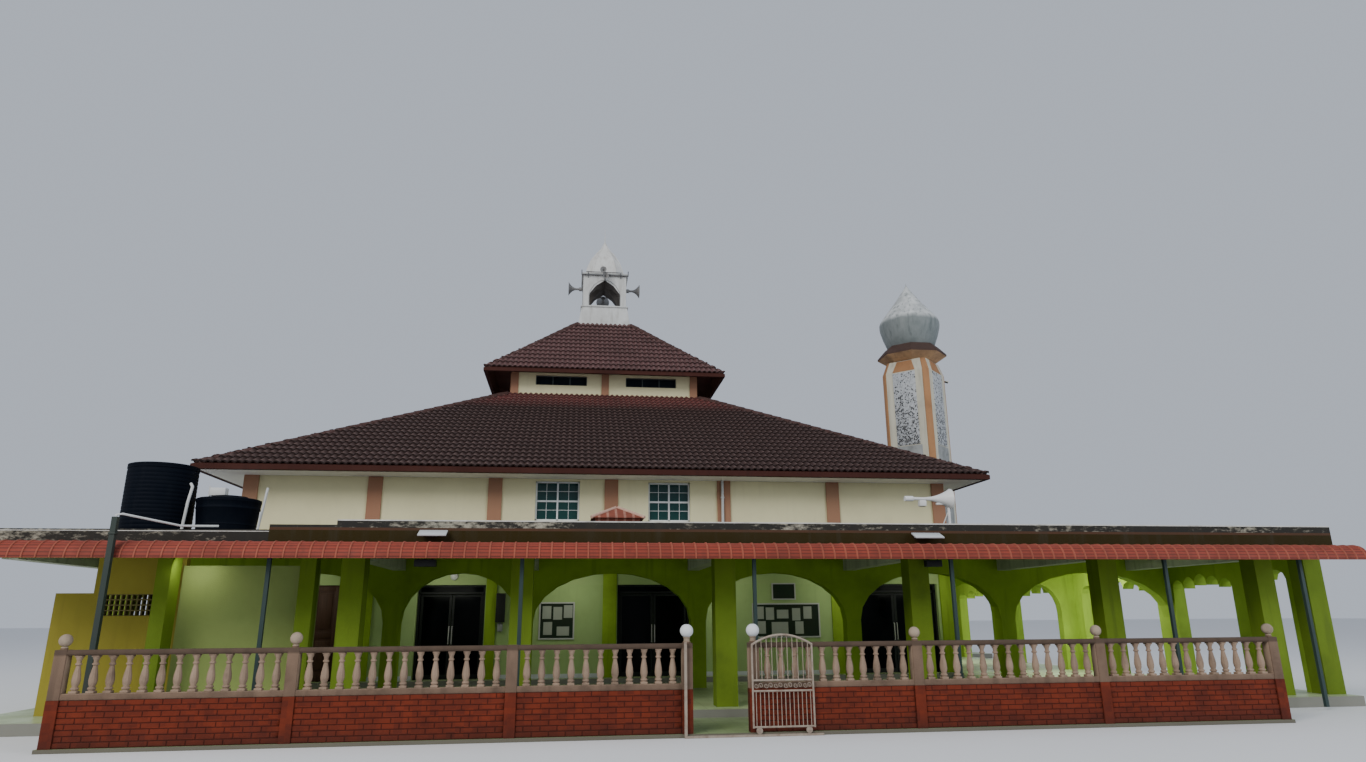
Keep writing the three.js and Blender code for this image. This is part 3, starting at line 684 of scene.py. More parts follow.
def tube(name, points, radius, sides=8):
    line = bpy.data.curves.new(name, "CURVE")
    line.dimensions = "3D"
    line.bevel_depth = radius
    line.bevel_resolution = sides // 2 - 2
    line.use_fill_caps = True
    spline = line.splines.new("POLY")
    spline.points.add(len(points) - 1)
    for point, at in zip(spline.points, points):
        point.co = (*at, 1)
    piece = bpy.data.objects.new(name, line)
    bpy.context.collection.objects.link(piece)
    pick(piece)
    bpy.ops.object.convert(target="MESH")
    piece = bpy.context.object
    piece.name = name
    smooth(piece, 50)
    return piece


def gate_head(x):
    return HEAD_SPRING + HEAD_RISE * (1 - ((x - GATE_MIDDLE) / (GATE_WIDTH / 2)) ** 2)


bars = []
for number in range(1, LOWER_BARS + 1):
    x = GATE_LEFT + number * GATE_WIDTH / (LOWER_BARS + 1)
    bars.append(tube("bar", [(x, GATE_Y, 0.125), (x, GATE_Y, BAND_LOW)], GATE_BAR, 8))
for number in range(1, UPPER_BARS + 1):
    x = GATE_LEFT + number * GATE_WIDTH / (UPPER_BARS + 1)
    bars.append(tube("bar", [(x, GATE_Y, BAND_HIGH), (x, GATE_Y, gate_head(x) - 0.005)], GATE_BAR, 8))
for x in (GATE_LEFT + 0.015, GATE_RIGHT - 0.015):
    bars.append(tube("stile", [(x, GATE_Y, 0.112), (x, GATE_Y, 1.285)], 0.015, 12))
for z in (0.127, BAND_LOW, BAND_HIGH):
    bars.append(tube("rail", [(GATE_LEFT + 0.004, GATE_Y, z), (GATE_RIGHT - 0.004, GATE_Y, z)], 0.0148, 12))
head = [GATE_LEFT + 0.010 + i * (GATE_WIDTH - 0.020) / 28 for i in range(29)]
bars.append(tube("head", [(x, GATE_Y, gate_head(x)) for x in head], 0.0165, 12))
for number in range(SCROLLS):
    centre = GATE_LEFT + 0.104 + number * SCROLL_SPACING
    turns = [i / SCROLL_STEPS for i in range(SCROLL_STEPS + 1)]
    scroll = []
    for way in (-1, 1):
        arm = [(centre + way * (0.034 + (0.036 - 0.026 * t) * -math.cos(t * SCROLL_TURN) * 0.95), GATE_Y,
                (BAND_LOW + BAND_HIGH) / 2 + way * (0.040 - 0.030 * t) * math.sin(t * SCROLL_TURN))
               for t in turns]
        scroll = (arm[::-1] if way < 0 else scroll + arm)
    bars.append(tube("scroll", scroll, 0.0050, 6))
wheel = lathe("wheel", [(0.0477, -0.010), (0.0477, 0.010), (0.020, 0.012), (0.012, 0.016)], 24)
for x in WHEEL_PLACES:
    turn = Matrix.Translation((x, GATE_Y, WHEEL_Z)) @ Matrix.Rotation(math.pi / 2, 4, "X")
    bars.append(copy_of(wheel, "gate_wheel", turn))
    bars.append(beam("wheel_fork", (x - 0.012, GATE_Y - 0.014, 0.070), (x + 0.012, GATE_Y + 0.014, 0.120),
                     0.003, 1))
bpy.data.objects.remove(wheel)
gate = joined("gate_welded", bars)
worn_cream = masonry("worn_cream_steel", (0.34, 0.29, 0.235), (0.12, 0.065, 0.042), rough=0.42, patches=0.55,
                     streaks=0.3, patch_size=9.0, grain_size=160.0, bump=0.12)
belongs(gate, worn_cream, "gate")
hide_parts("gate_leaf")
coat("gate_track", worn_cream)


# Awning: bullnose sheet steel, crimped across so that it bends over the nose, with a standing rib
# every 200 mm. Coated brick red; the ribs are painted paler, and each crimp over the nose is painted
# with a dark line of painted shade. It hangs on a painted steel frame.
RIB_SPACING = 0.2
AWNING_FROM = -10.5
AWNING_TO = 13.8
NOSE_Y = -15.68
NOSE_Z = 2.63
NOSE_DEEP = 0.264
NOSE_HIGH = 0.276
NOSE_STEPS = 22
AWNING_BACK = -15.212
AWNING_BEND = -15.45
RIB_SHARE = 0.17
CRIMPS_PER_TURN = 4.2
coat("awning_frame", masonry("post_paint", (0.030, 0.052, 0.050), (0.022, 0.026, 0.022), rough=0.5,
                             bump=0.05))


def awning_finish():
    finish, shader, place = start_finish("awning_coating", 0.62)
    x, y, z = parts_of(place)
    rib = less(fraction(divide(plus(x, -AWNING_FROM), RIB_SPACING)), RIB_SHARE)
    colour = mix(ramp(z, 2.76, 2.60, high=0.45), (0.275, 0.048, 0.028), (0.135, 0.022, 0.014))
    round_nose = calc("ARCTAN2", minus(NOSE_Y, y), minus(z, NOSE_Z))
    # painted shade: a dark line in each crimp fold over the nose
    crimp = times(less(fraction(times(round_nose, CRIMPS_PER_TURN)), 0.34), more(round_nose, 0.45))
    colour = mix(times(crimp, 0.7), colour, (0.070, 0.016, 0.012))
    colour = mix(times(rib, 0.70), colour, (0.37, 0.105, 0.062))
    weather(shader, place, colour, (0.070, 0.022, 0.016), patches=0.45, streaks=0.35, patch_size=1.8,
            grain_size=50.0, bump=0.10)
    return finish


section = ((0.0, 0.0), (0.012, 0.013), (0.028, 0.013), (0.040, 0.0), (0.120, 0.0015), (0.2, 0.0))
rows = [(y, NOSE_Z + NOSE_HIGH, 0.0, 1.0) for y in (AWNING_BACK, AWNING_BEND)]
for i in range(NOSE_STEPS + 1):
    angle = math.radians(90 * i / NOSE_STEPS)
    rows.append((NOSE_Y - NOSE_DEEP * math.sin(angle), NOSE_Z + NOSE_HIGH * math.cos(angle), math.sin(angle),
                 math.cos(angle)))
bpy.ops.mesh.primitive_grid_add(x_subdivisions=len(section) - 1, y_subdivisions=len(rows) - 1, size=1)
awning = bpy.context.object
for v in awning.data.vertices:
    along, proud = section[round((v.co.x + 0.5) * (len(section) - 1))]
    row = round((v.co.y + 0.5) * (len(rows) - 1))
    y, z, out, up = rows[row]
    crimp = 0.0045 * (row % 2) if row > 3 and proud < 0.01 else 0.0
    v.co = (AWNING_FROM + along, y - out * (proud - crimp), z + up * (proud - crimp))
repeat(awning, (RIB_SPACING, 0, 0), math.ceil((AWNING_TO - AWNING_FROM) / RIB_SPACING), weld=True)
edit(awning)
bpy.ops.mesh.bisect(plane_co=(AWNING_TO, 0, 0), plane_no=(1, 0, 0), clear_outer=True)
bpy.ops.mesh.select_all(action="SELECT")
bpy.ops.mesh.flip_normals()
leave_edit()
sheet = awning.modifiers.new("sheet", "SOLIDIFY")
sheet.thickness = 0.004
sheet.offset = -1
apply_all(awning)
awning.name = "awning_sheet"
smooth(awning, 30)
belongs(awning, awning_finish())
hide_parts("awning")


# Hall windows: white aluminium frames set back in the openings, each two sashes of two panes across,
# with a heavy bar at mid height and a light bar above and below it.
FRONT_WINDOWS = ((-1.89, -0.79), (0.94, 2.01))
SILL = 4.01
HEAD = 5.00
WINDOW_FRONT = -8.700
white_frame = masonry("window_frame_white", (0.74, 0.77, 0.78), (0.35, 0.36, 0.34), rough=0.4, patches=0.2,
                      streaks=0.3, bump=0.04)
dusty_glass = glazing("pane_teal", (0.005, 0.036, 0.034), (0.02, 0.085, 0.075), 0.14)


def window(name, left, right, sill, head, front, uprights, rails, frame_bar, glazing_bar):
    depth = 0.045
    rows = [beam("sill", (left, front, sill), (right, front + depth, sill + frame_bar), 0.004, 1),
            beam("head", (left, front, head - frame_bar), (right, front + depth, head), 0.004, 1)]
    for x in (left, right - frame_bar):
        rows.append(beam("jamb", (x, front, sill), (x + frame_bar, front + depth, head), 0.004, 1))
    for part, heavy in uprights:
        bar = frame_bar if heavy else glazing_bar
        x = left + part * (right - left)
        rows.append(beam("upright", (x - bar / 2, front + (0 if heavy else 0.008), sill + 0.01),
                         (x + bar / 2, front + depth - 0.004, head - 0.01), 0.003, 1))
    for part, heavy in rails:
        bar = frame_bar if heavy else glazing_bar
        z = sill + part * (head - sill)
        rows.append(beam("bar", (left + 0.01, front + (0.002 if heavy else 0.009), z - bar / 2),
                         (right - 0.01, front + depth - 0.005, z + bar / 2), 0.003, 1))
    return joined(name, rows)


def pane(name, left, right, sill, head, front):
    return beam(name, (left + 0.008, front + 0.024, sill + 0.008),
                (right - 0.008, front + 0.030, head - 0.008), 0.002, 1)


def on_four_sides(piece, left, right):
    copies = []
    for quarter in range(4):
        shift = 0 if quarter < 2 else -(left + right)
        copies.append(copy_of(piece, piece.name, quarter_turn(quarter) @ Matrix.Translation((shift, 0, 0))))
    bpy.data.objects.remove(piece)
    return copies


frames = []
panes = []
bars = ((0.25, False), (0.5, True), (0.75, False))
cross_bars = ((0.275, False), (0.5, True), (0.75, False))
for left, right in FRONT_WINDOWS:
    pattern = window("window", left, right, SILL, HEAD, WINDOW_FRONT, bars, cross_bars, 0.044, 0.013)
    frames += on_four_sides(pattern, left, right)
    panes += on_four_sides(pane("pane", left, right, SILL, HEAD, WINDOW_FRONT), left, right)
belongs(joined("hall_window_frames", frames), white_frame)
belongs(joined("hall_window_panes", panes), dusty_glass)


# Tier windows: under the upper eave, a row of three dark fixed panes in a thin dark frame, let into
# each side of the tier wall twice.
TIER_WINDOWS = ((-2.27, -0.60), (0.68, 2.36))
TIER_SILL = 9.04
TIER_HEAD = 9.37
TIER_FRONT = -2.985
frames = []
for left, right in TIER_WINDOWS:
    pattern = window("tier_window", left, right, TIER_SILL, TIER_HEAD, TIER_FRONT,
                     ((0.333, False), (0.667, False)), (), 0.022, 0.024)
    frames += on_four_sides(pattern, left, right)
belongs(joined("tier_window_frames", frames),
        masonry("tier_frame_dark", (0.10, 0.12, 0.12), (0.04, 0.04, 0.035), rough=0.5))


# Minaret: cream rendered shaft with a rib on each cut corner, a panel of broken-tile mosaic in each
# face, bare cement below it and a tan head above. The ribs and heads lean in under the eave.
MINARET = Vector((14.13, 5.00, 0))
FACE = 1.08
CORNER = 1.344
SHOULDER = 12.05
SHAFT_TOP = 12.60
MOSAIC_FROM = 8.75
MOSAIC_HALF = 0.52
HEAD_HALF = 0.34
CEMENT_HALF = 0.60
RIB_HALF = 0.150
RIB_PROUD = 0.045
CHIPS_PER_METRE = 17.0
EAVE_UNDERSIDE = 12.878
coat("minaret_shaft", masonry("minaret_cream", (0.66, 0.63, 0.50), (0.26, 0.23, 0.18), patches=0.3,
                              streaks=0.4))


def slab(name, lower, upper, soften=0.01):
    """Block between two outlines (x0, x1, y0, y1, z) that may differ in width and lean."""
    bpy.ops.mesh.primitive_cube_add(size=1)
    piece = bpy.context.object
    piece.name = name
    for v in piece.data.vertices:
        x0, x1, y0, y1, z = upper if v.co.z > 0 else lower
        v.co = (x1 if v.co.x > 0 else x0, y1 if v.co.y > 0 else y0, z)
    return eased(piece, soften)


def mosaic_finish():
    finish, shader, place = start_finish("broken_tile_mosaic", 0.45)
    tree = place.id_data
    size = {"Vector": place, "Scale": CHIPS_PER_METRE}
    chips = place_node(tree, "ShaderNodeTexVoronoi", size).outputs["Color"]
    gaps = place_node(tree, "ShaderNodeTexVoronoi", size, feature="DISTANCE_TO_EDGE").outputs["Distance"]
    chance = parts_of(chips)[0]
    share = times(ramp(parts_of(place)[2], MOSAIC_FROM, 12.0, 0.50, 0.10), plus(noise(place, 1.6, 3.0), 0.5))
    pale = mix(times(more(chance, 0.72), 0.6), (0.50, 0.52, 0.54), (0.24, 0.255, 0.275))
    chip = mix(less(chance, share), pale, (0.035, 0.037, 0.042))
    tree.links.new(mix(less(gaps, 0.05), chip, (0.46, 0.46, 0.45)), shader.inputs["Base Color"])
    relief = place_node(tree, "ShaderNodeBump", {"Height": gaps, "Strength": 0.5, "Distance": 0.01})
    tree.links.new(relief.outputs["Normal"], shader.inputs["Normal"])
    return finish


mosaic = mosaic_finish()
tan_render = masonry("minaret_tan", (0.44, 0.225, 0.105), (0.17, 0.095, 0.055), patches=0.45, streaks=0.35)
bare_cement = masonry("bare_cement", (0.36, 0.37, 0.36), (0.13, 0.135, 0.13), patches=0.7, streaks=0.5,
                      patch_size=1.8)
mosaics = []
heads = []
cements = []
ribs = []
for quarter in range(4):
    face = Matrix.Translation(MINARET) @ Matrix.Rotation(math.radians(-45 + 90 * quarter), 4, "Z")
    corner = Matrix.Translation(MINARET) @ Matrix.Rotation(math.radians(90 * quarter), 4, "Z")
    panel = beam("mosaic", (-MOSAIC_HALF, -FACE - 0.018, MOSAIC_FROM), (MOSAIC_HALF, -FACE + 0.02, 12.02),
                 0.006)
    seat(panel, face)
    mosaics.append(panel)
    head = slab("head", (-MOSAIC_HALF, MOSAIC_HALF, -FACE - 0.012, -FACE + 0.05, SHOULDER + 0.01),
                (-HEAD_HALF, HEAD_HALF, -FACE + 0.147, -FACE + 0.21, SHAFT_TOP - 0.03), 0.006)
    seat(head, face)
    heads.append(head)
    cement = beam("cement", (-CEMENT_HALF, -FACE - 0.010, 3.4),
                  (CEMENT_HALF, -FACE + 0.02, MOSAIC_FROM - 0.03), 0.006)
    seat(cement, face)
    cements.append(cement)
    outline = (-RIB_HALF, RIB_HALF, -CORNER - RIB_PROUD, -CORNER + 0.10)
    lower = slab("rib", (*outline, 3.3), (*outline, SHOULDER), 0.012)
    upper = slab("rib", (-0.149, 0.149, -CORNER - 0.044, -CORNER + 0.10, SHOULDER - 0.01),
                 (-0.118, 0.118, -CORNER + 0.175, -CORNER + 0.28, SHAFT_TOP), 0.012)
    for rib in (lower, upper):
        seat(rib, corner)
        ribs.append(rib)
for name, pieces, finish in (("minaret_mosaics", mosaics, mosaic), ("minaret_heads", heads, tan_render),
                             ("minaret_cement", cements, bare_cement), ("minaret_ribs", ribs, tan_render)):
    belongs(joined(name, pieces), finish)


def eave_finish():
    finish, shader, place = start_finish("minaret_eave_paint", 0.8)
    colour = mix(less(parts_of(place)[2], EAVE_UNDERSIDE), (0.085, 0.050, 0.040), (0.46, 0.28, 0.15))
    weather(shader, place, colour, (0.040, 0.028, 0.024), patches=0.5, streaks=0.4, patch_size=1.8)
    return finish


coat("minaret_canopy", eave_finish())


def dome_finish():
    finish, shader, place = start_finish("minaret_dome_paint", 0.55)
    level = plus(parts_of(place)[2], times(noise(place, 2.2, 3.0), 0.30))
    colour = mix(times(ramp(level, 14.85, 14.60), 0.85), (0.74, 0.75, 0.73), (0.165, 0.190, 0.186))
    weather(shader, place, colour, (0.10, 0.125, 0.125), patches=0.55, streaks=0.65, patch_size=1.6,
            grain_size=40.0, bump=0.2)
    return finish


minaret_dome = lathe("minaret_onion_dome", [
    (0.98, 13.332), (1.04, 13.40), (1.21, 13.85), (1.315, 14.22), (1.338, 14.40), (1.335, 14.52),
    (1.29, 14.64), (1.15, 14.84), (0.90, 15.16), (0.60, 15.56), (0.30, 15.99), (0.10, 16.28), (0.055, 16.38),
    (0.040, 16.40), (0.026, 16.42), (0.014, 16.50), (0.008, 16.565)], 48, Matrix.Translation(MINARET))
belongs(minaret_dome, dome_finish())
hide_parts("minaret_dome")


# Verandah roof: cast slab with a painted downstand in olive green, a raw edge blackened by rain and
# patched with lime, a thin white line along its lip and a grey-white soffit.
LEFT_SLAB_TO = -5.98
LEFT_LIP_FRONT = -14.62
LEFT_LIP_FROM = 3.108
LIP_FROM = 3.300
RED_LINE_TO = 3.185
BAND_TO = 3.140
SOFFIT_TO = 3.003
EDGE_BACK = -15.045


def roof_slab_finish():
    finish, shader, place = start_finish("roof_slab_weathered", 0.9)
    x, y, z = parts_of(place)
    blots = plus(noise(scaled(place, (1.0, 1.0, 2.5)), 5.0, 9.0, 0.72), times(noise(place, 0.55, 2.0), 0.55))
    edge = mix(ramp(blots, 0.80, 0.96), (0.022, 0.022, 0.020), (0.40, 0.38, 0.30))
    left = less(x, LEFT_SLAB_TO)
    elsewhere = minus(1.0, left)
    left_lip = times(times(left, less(y, LEFT_LIP_FRONT)), more(z, LEFT_LIP_FROM))
    colour = mix(larger(more(z, LIP_FROM), left_lip), edge, (0.62, 0.62, 0.58))
    # a thin red-brown line below the blackened edge, above the olive band
    colour = mix(times(less(z, RED_LINE_TO), elsewhere), colour, (0.075, 0.036, 0.020))
    colour = mix(times(less(z, BAND_TO), elsewhere), colour, (0.024, 0.016, 0.0002))
    colour = mix(times(less(z, SOFFIT_TO), more(y, EDGE_BACK)), colour, (0.50, 0.53, 0.42))
    weather(shader, place, colour, (0.045, 0.040, 0.030), patches=0.30, streaks=0.35, patch_size=1.5,
            grain_size=45.0, bump=0.5)
    return finish


coat("verandah_roof", roof_slab_finish())


# Verandah floor and apron: glazed floor tiles, grey-green and dusty, with a white-painted riser.
FLOOR_TILE = 0.30
TILES_PER_METRE = 3.3333
JOINT_SHARE = 0.022
FAR_OUTSIDE = 100.0


def floor_finish(name, colour, other, riser_colour):
    finish, shader, place = start_finish(name, 0.4)
    tree = place.id_data
    joint = larger(*(less(fraction(divide(plus(axis, FAR_OUTSIDE), FLOOR_TILE)), JOINT_SHARE)
                     for axis in parts_of(place)[:2]))
    whole_tile = place_node(tree, "ShaderNodeVectorMath", {
        0: scaled(place, (TILES_PER_METRE, TILES_PER_METRE, 0.0))}, operation="FLOOR").outputs[0]
    face = mix(times(joint, 0.7), mix(at_random(whole_tile), colour, other), (0.10, 0.12, 0.08))
    facing = place_node(tree, "ShaderNodeNewGeometry").outputs["Normal"]
    face = mix(less(size_of(parts_of(facing)[2]), 0.5), face, riser_colour)
    weather(shader, place, face, (0.14, 0.14, 0.10), patches=0.40, streaks=0.1, patch_size=0.8,
            grain_size=50.0, bump=0.1, rough_spread=0.3)
    return finish


coat("plinth", floor_finish("verandah_floor_tiles", (0.44, 0.54, 0.29), (0.39, 0.48, 0.25),
                            (0.22, 0.22, 0.19)))
coat("apron", floor_finish("apron_floor_tiles", (0.26, 0.34, 0.165), (0.23, 0.30, 0.145),
                           (0.12, 0.11, 0.085)))


# Lantern: cement-rendered box with pointed arches and a thin ledge. Its dome has eight leaves, wide
# ones over the sides and narrow ones over the corners, swept up to a point under a steel spike.
LANTERN_LEDGE = 13.98
DOME_RISE = ((0.700, 0.001), (0.705, 0.10), (0.692, 0.22), (0.665, 0.34), (0.630, 0.45), (0.590, 0.57),
             (0.538, 0.70), (0.475, 0.82), (0.402, 0.94), (0.322, 1.07), (0.232, 1.19), (0.155, 1.30),
             (0.092, 1.42), (0.044, 1.56))
FLANK = 0.58
INNER_FACE = 0.775
INSIDE_FROM = 12.71
BEAD_FACE = -0.797
BEAD_PATH = ((0.572, 12.74), (0.572, 13.13), (0.54, 13.28), (0.40, 13.52), (0.20, 13.68), (0, 13.74))


def lantern_finish():
    finish, shader, place = start_finish("lantern_paint", 0.8)
    x, y, z = parts_of(place)
    # painted shade with real dark staining: the render inside the arches is painted near black
    inside = times(less(larger(size_of(x), size_of(y)), INNER_FACE), more(z, INSIDE_FROM))
    colour = mix(times(inside, 0.92), (0.60, 0.61, 0.60), (0.050, 0.038, 0.032))
    weather(shader, place, colour, (0.22, 0.20, 0.17), patches=0.35, streaks=0.45, patch_size=1.8,
            grain_size=40.0, bump=0.2)
    return finish


coat("cupola_lantern", lantern_finish())
dome_white = masonry("lantern_dome_paint", (0.66, 0.66, 0.64), (0.33, 0.31, 0.27), patches=0.35, streaks=0.55,
                     patch_size=1.6)
skin = lathe("cupola_dome_skin", [(half, LANTERN_LEDGE + rise) for half, rise in DOME_RISE], 8)
for v in skin.data.vertices:
    half = math.hypot(v.co.x, v.co.y)
    if half > 0.01:
        eighth = int((math.degrees(math.atan2(v.co.y, v.co.x)) + 361) // 45) % 8
        way = math.radians(90 * (eighth // 2))
        along, aside = (1, FLANK) if eighth % 2 == 0 else (FLANK, 1)
        v.co.x, v.co.y = (half * (along * math.cos(way) - aside * math.sin(way)),
                          half * (along * math.sin(way) + aside * math.cos(way)))
smooth(skin, 20)
belongs(skin, dome_white)
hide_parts("cupola_dome")
seams = []
for quarter in range(4):
    turn = quarter_turn(quarter)
    for way in (-1, 1):
        path = [turn @ Vector((way * half * FLANK, -half, LANTERN_LEDGE + rise)) for half, rise in DOME_RISE]
        seams.append(tube("seam", path, 0.010, 6))
seams.append(lathe("spike", [(0.048, 15.53), (0.036, 15.57), (0.022, 15.60), (0.014, 15.70), (0.010, 15.90),
                             (0.006, 16.13)], 12))
belongs(joined("cupola_dome_seams", seams), dome_white)
ledge = []
for quarter in range(4):
    turn = quarter_turn(quarter)
    drip = beam("drip", (-0.850, -0.858, 13.912), (0.850, -0.835, 13.968), 0.006)
    sill = beam("sill", (-0.862, -0.866, 12.640), (0.862, -0.845, 12.664), 0.005)
    bead = [tube("bead", [(way * out, BEAD_FACE, z) for out, z in BEAD_PATH], 0.012, 6) for way in (-1, 1)]
    for piece in (drip, sill, *bead):
        seat(piece, turn)
        ledge.append(piece)
lantern_trim = joined("cupola_trim", ledge)
belongs(lantern_trim, masonry("aged_white_trim", (0.36, 0.37, 0.36), (0.11, 0.105, 0.10), patches=0.5,
                              streaks=0.5))


# Horn loudspeakers: spun sheet flares on cast throats, painted grey, bolted to the lantern by pipe
# arms. Two more face the street from a pipe rail, and a large one stands on the verandah roof.
def flare(name, back, ahead, length, mouth, throat=0.05):
    """Trumpet from back along ahead, with a driver can behind and a rolled rim at the mouth."""
    ahead = Vector(ahead).normalized()
    rings = [(throat * 1.5, -0.02), (throat * 1.5, length * 0.16), (throat * 0.9, length * 0.18),
             (throat * 0.8, length * 0.36)]
    for i in range(1, 9):
        part = i / 8
        rings.append((throat * 0.8 + (mouth - throat * 0.8) * part ** 2.2, length * (0.36 + 0.64 * part)))
    rings.append((mouth * 0.985, length * 1.012))
    rings.append((mouth * 0.96, length * 0.99))
    for i in range(7, 0, -1):
        part = i / 8
        rings.append((throat * 0.6 + (mouth * 0.96 - throat * 0.6) * part ** 2.2,
                      length * (0.38 + 0.60 * part)))
    turn = ahead.to_track_quat("Z", "Y").to_matrix().to_4x4()
    return lathe(name, rings, 24, Matrix.Translation(back) @ turn)


HORN_HEIGHT = 13.64
ROOF_HORN_Y = -14.5
MAST_X = 6.30


def on_lantern(way, out):
    return way[0] * out, way[1] * out, HORN_HEIGHT


grey_horn = masonry("grey_horn_paint", (0.27, 0.27, 0.27), (0.12, 0.11, 0.10), rough=0.5, patches=0.5,
                    bump=0.04)
rail_iron = masonry("rail_iron", (0.085, 0.085, 0.095), (0.035, 0.028, 0.024), rough=0.6, patches=0.5,
                    bump=0.06)
horns = []
rods = []
for way in ((-1, 0), (1, 0), (0, 1)):
    horns.append(flare("horn", on_lantern(way, 0.86), (*way, 0), 0.47, 0.255))
    rods.append(tube("arm", [on_lantern(way, 0.80), on_lantern(way, 0.93)], 0.022, 8))
    aside = Vector((way[1], way[0], 0)) * 0.27
    bar_at = Vector(on_lantern(way, 0.805))
    rods.append(tube("crossbar", [bar_at - aside, bar_at + aside], 0.016, 8))
horns.append(flare("horn", (-0.04, -0.905, 13.995), (-0.15, -1, 0.05), 0.25, 0.120, 0.032))
horns.append(flare("horn", (0.0, -0.905, 13.765), (0.05, -1, -0.03), 0.26, 0.118, 0.032))
rods.append(tube("rail", [(-0.86, -0.885, 13.89), (0.86, -0.885, 13.89)], 0.018, 8))
rods.append(tube("rail", [(-0.70, -0.895, 14.00), (0.64, -0.895, 14.00)], 0.014, 8))
rods.append(tube("riser", [(0.0, -0.895, 13.66), (0.0, -0.895, 14.10)], 0.016, 8))
for x in (-0.62, 0.58):
    rods.append(tube("bracket", [(x, -0.895, 14.01), (x, -0.885, 13.86), (x, -0.80, 13.80)], 0.012, 6))
for x in (-0.855, 0.855):
    rods.append(tube("stub", [(x, -0.86, 13.88), (x, -0.86, 14.08)], 0.016, 8))
belongs(joined("cupola_rails", rods), rail_iron)
cupola_horns = joined("cupola_loudspeakers", horns)
belongs(cupola_horns, grey_horn)
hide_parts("cupola_horns")

white_horn = masonry("white_horn_paint", (0.70, 0.70, 0.69), (0.30, 0.29, 0.27), rough=0.4, patches=0.35,
                     bump=0.03)
roof_parts = [
    flare("roof_flare", (5.44, ROOF_HORN_Y, 3.87), (1, 0, 0), 0.90, 0.198, 0.034),
    tube("mast", [(MAST_X, ROOF_HORN_Y, 3.205), (MAST_X, ROOF_HORN_Y, 3.80)], 0.026, 10),
    tube("stay", [(MAST_X, -14.46, 3.62), (6.12, -14.40, 3.205)], 0.012, 8),
    beam("cradle", (6.05, -14.53, 3.755), (6.33, -14.47, 3.795), 0.01),
    beam("driver", (5.70, -14.56, 3.72), (5.84, -14.44, 3.84), 0.02),
]
roof_horn = joined("roof_loudspeaker", roof_parts)
belongs(roof_horn, white_horn)
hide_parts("roof_horn")


# Water tanks: rotomoulded black plastic. The tall one has close rings and a domed lid; the low one
# tapers, with a rolled rim, a small float-switch box on its lid and white pipes beside it.
black_plastic = masonry("tank_moulded_black", (0.0022, 0.0040, 0.0085), (0.010, 0.012, 0.016), rough=0.62,
                        patches=0.30, streaks=0.35, patch_size=1.6, grain_size=30.0, bump=0.08)
black_plastic.node_tree.nodes["Principled BSDF"].inputs["Specular IOR Level"].default_value = 0.04
SLAB = 3.2
TALL_AT = (-9.20, -12.0, SLAB)
LOW_AT = (-7.87, -12.0, SLAB)
CLEAR = Matrix.Translation((0, 0, 0.001))
TANK_RIBS = 17
RIB_GAUGE = 0.078
TANK_SIDES = 48
rings = [(0.620, 0.0), (0.627, 0.02)]
for i in range(TANK_RIBS):
    z = 0.05 + i * RIB_GAUGE
    rings += [(0.628, z), (0.633, z + 0.010), (0.633, z + 0.058), (0.628, z + 0.068)]
rings += [(0.628, 1.40), (0.638, 1.41), (0.638, 1.448), (0.60, 1.449)]
tall = lathe("tall_tank", rings, TANK_SIDES, CLEAR @ Matrix.Translation(TALL_AT))
lid = lathe("tall_lid", [(0.637, 1.452), (0.637, 1.49), (0.60, 1.502), (0.40, 1.520), (0.242, 1.536),
                         (0.238, 1.546), (0.10, 1.549)], TANK_SIDES, Matrix.Translation(TALL_AT))
knob = beam("lid_knob", (-9.27, -12.06, SLAB + 1.52), (-9.13, -11.94, SLAB + 1.549), 0.012)
belongs(tall, black_plastic)
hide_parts("big_tank")
tall_lid = joined("tall_tank_lid", [lid, knob])
belongs(tall_lid, black_plastic)
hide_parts("big_tank_lid")
low = lathe("low_tank", [(0.510, 0.0), (0.520, 0.02), (0.548, 0.30), (0.554, 0.305), (0.554, 0.33),
                         (0.551, 0.335), (0.582, 0.62), (0.590, 0.63), (0.590, 0.66), (0.584, 0.67),
                         (0.592, 0.76), (0.600, 0.77), (0.600, 0.797), (0.56, 0.799)], TANK_SIDES,
                         CLEAR @ Matrix.Translation(LOW_AT))
belongs(low, black_plastic)
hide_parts("small_tank")
low_lid = lathe("low_tank_lid", [(0.598, 0.801), (0.598, 0.826), (0.57, 0.838), (0.34, 0.866), (0.33, 0.895),
                                 (0.12, 0.908)], TANK_SIDES, Matrix.Translation(LOW_AT))
belongs(low_lid, black_plastic)
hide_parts("small_tank_lid")
pipe_white = masonry("pipe_white", (0.62, 0.64, 0.64), (0.25, 0.24, 0.21), rough=0.45, patches=0.4,
                     streaks=0.4, bump=0.03)
pipes = [
    tube("riser", [(-8.40, -12.75, SLAB + 0.002), (-8.36, -12.72, 3.9), (-8.33, -12.68, 4.20),
                   (-8.40, -12.60, 4.27)],
         0.028, 8),
    tube("vent", [(-7.19, -12.30, SLAB + 0.002), (-7.10, -12.30, 3.9), (-7.06, -12.30, 4.25)], 0.026, 8),
    tube("vent", [(-7.12, -12.42, SLAB + 0.002), (-7.10, -12.42, 3.75)], 0.020, 8),
    beam("switch_box", (-8.20, -12.20, 4.10), (-7.90, -12.02, 4.26), 0.012),
    tube("post", [(-8.23, -12.12, 4.06), (-8.23, -12.12, 4.30)], 0.016, 8),
]
pipes.append(tube("overflow", [(-8.005, -15.985, 3.25), (-8.005, -15.985, 3.285), (-7.93, -15.95, 3.30),
                               (-7.35, -15.25, 3.19), (-6.9, -14.9, 3.225)], 0.018, 8))
belongs(joined("tank_pipes", pipes), pipe_white)


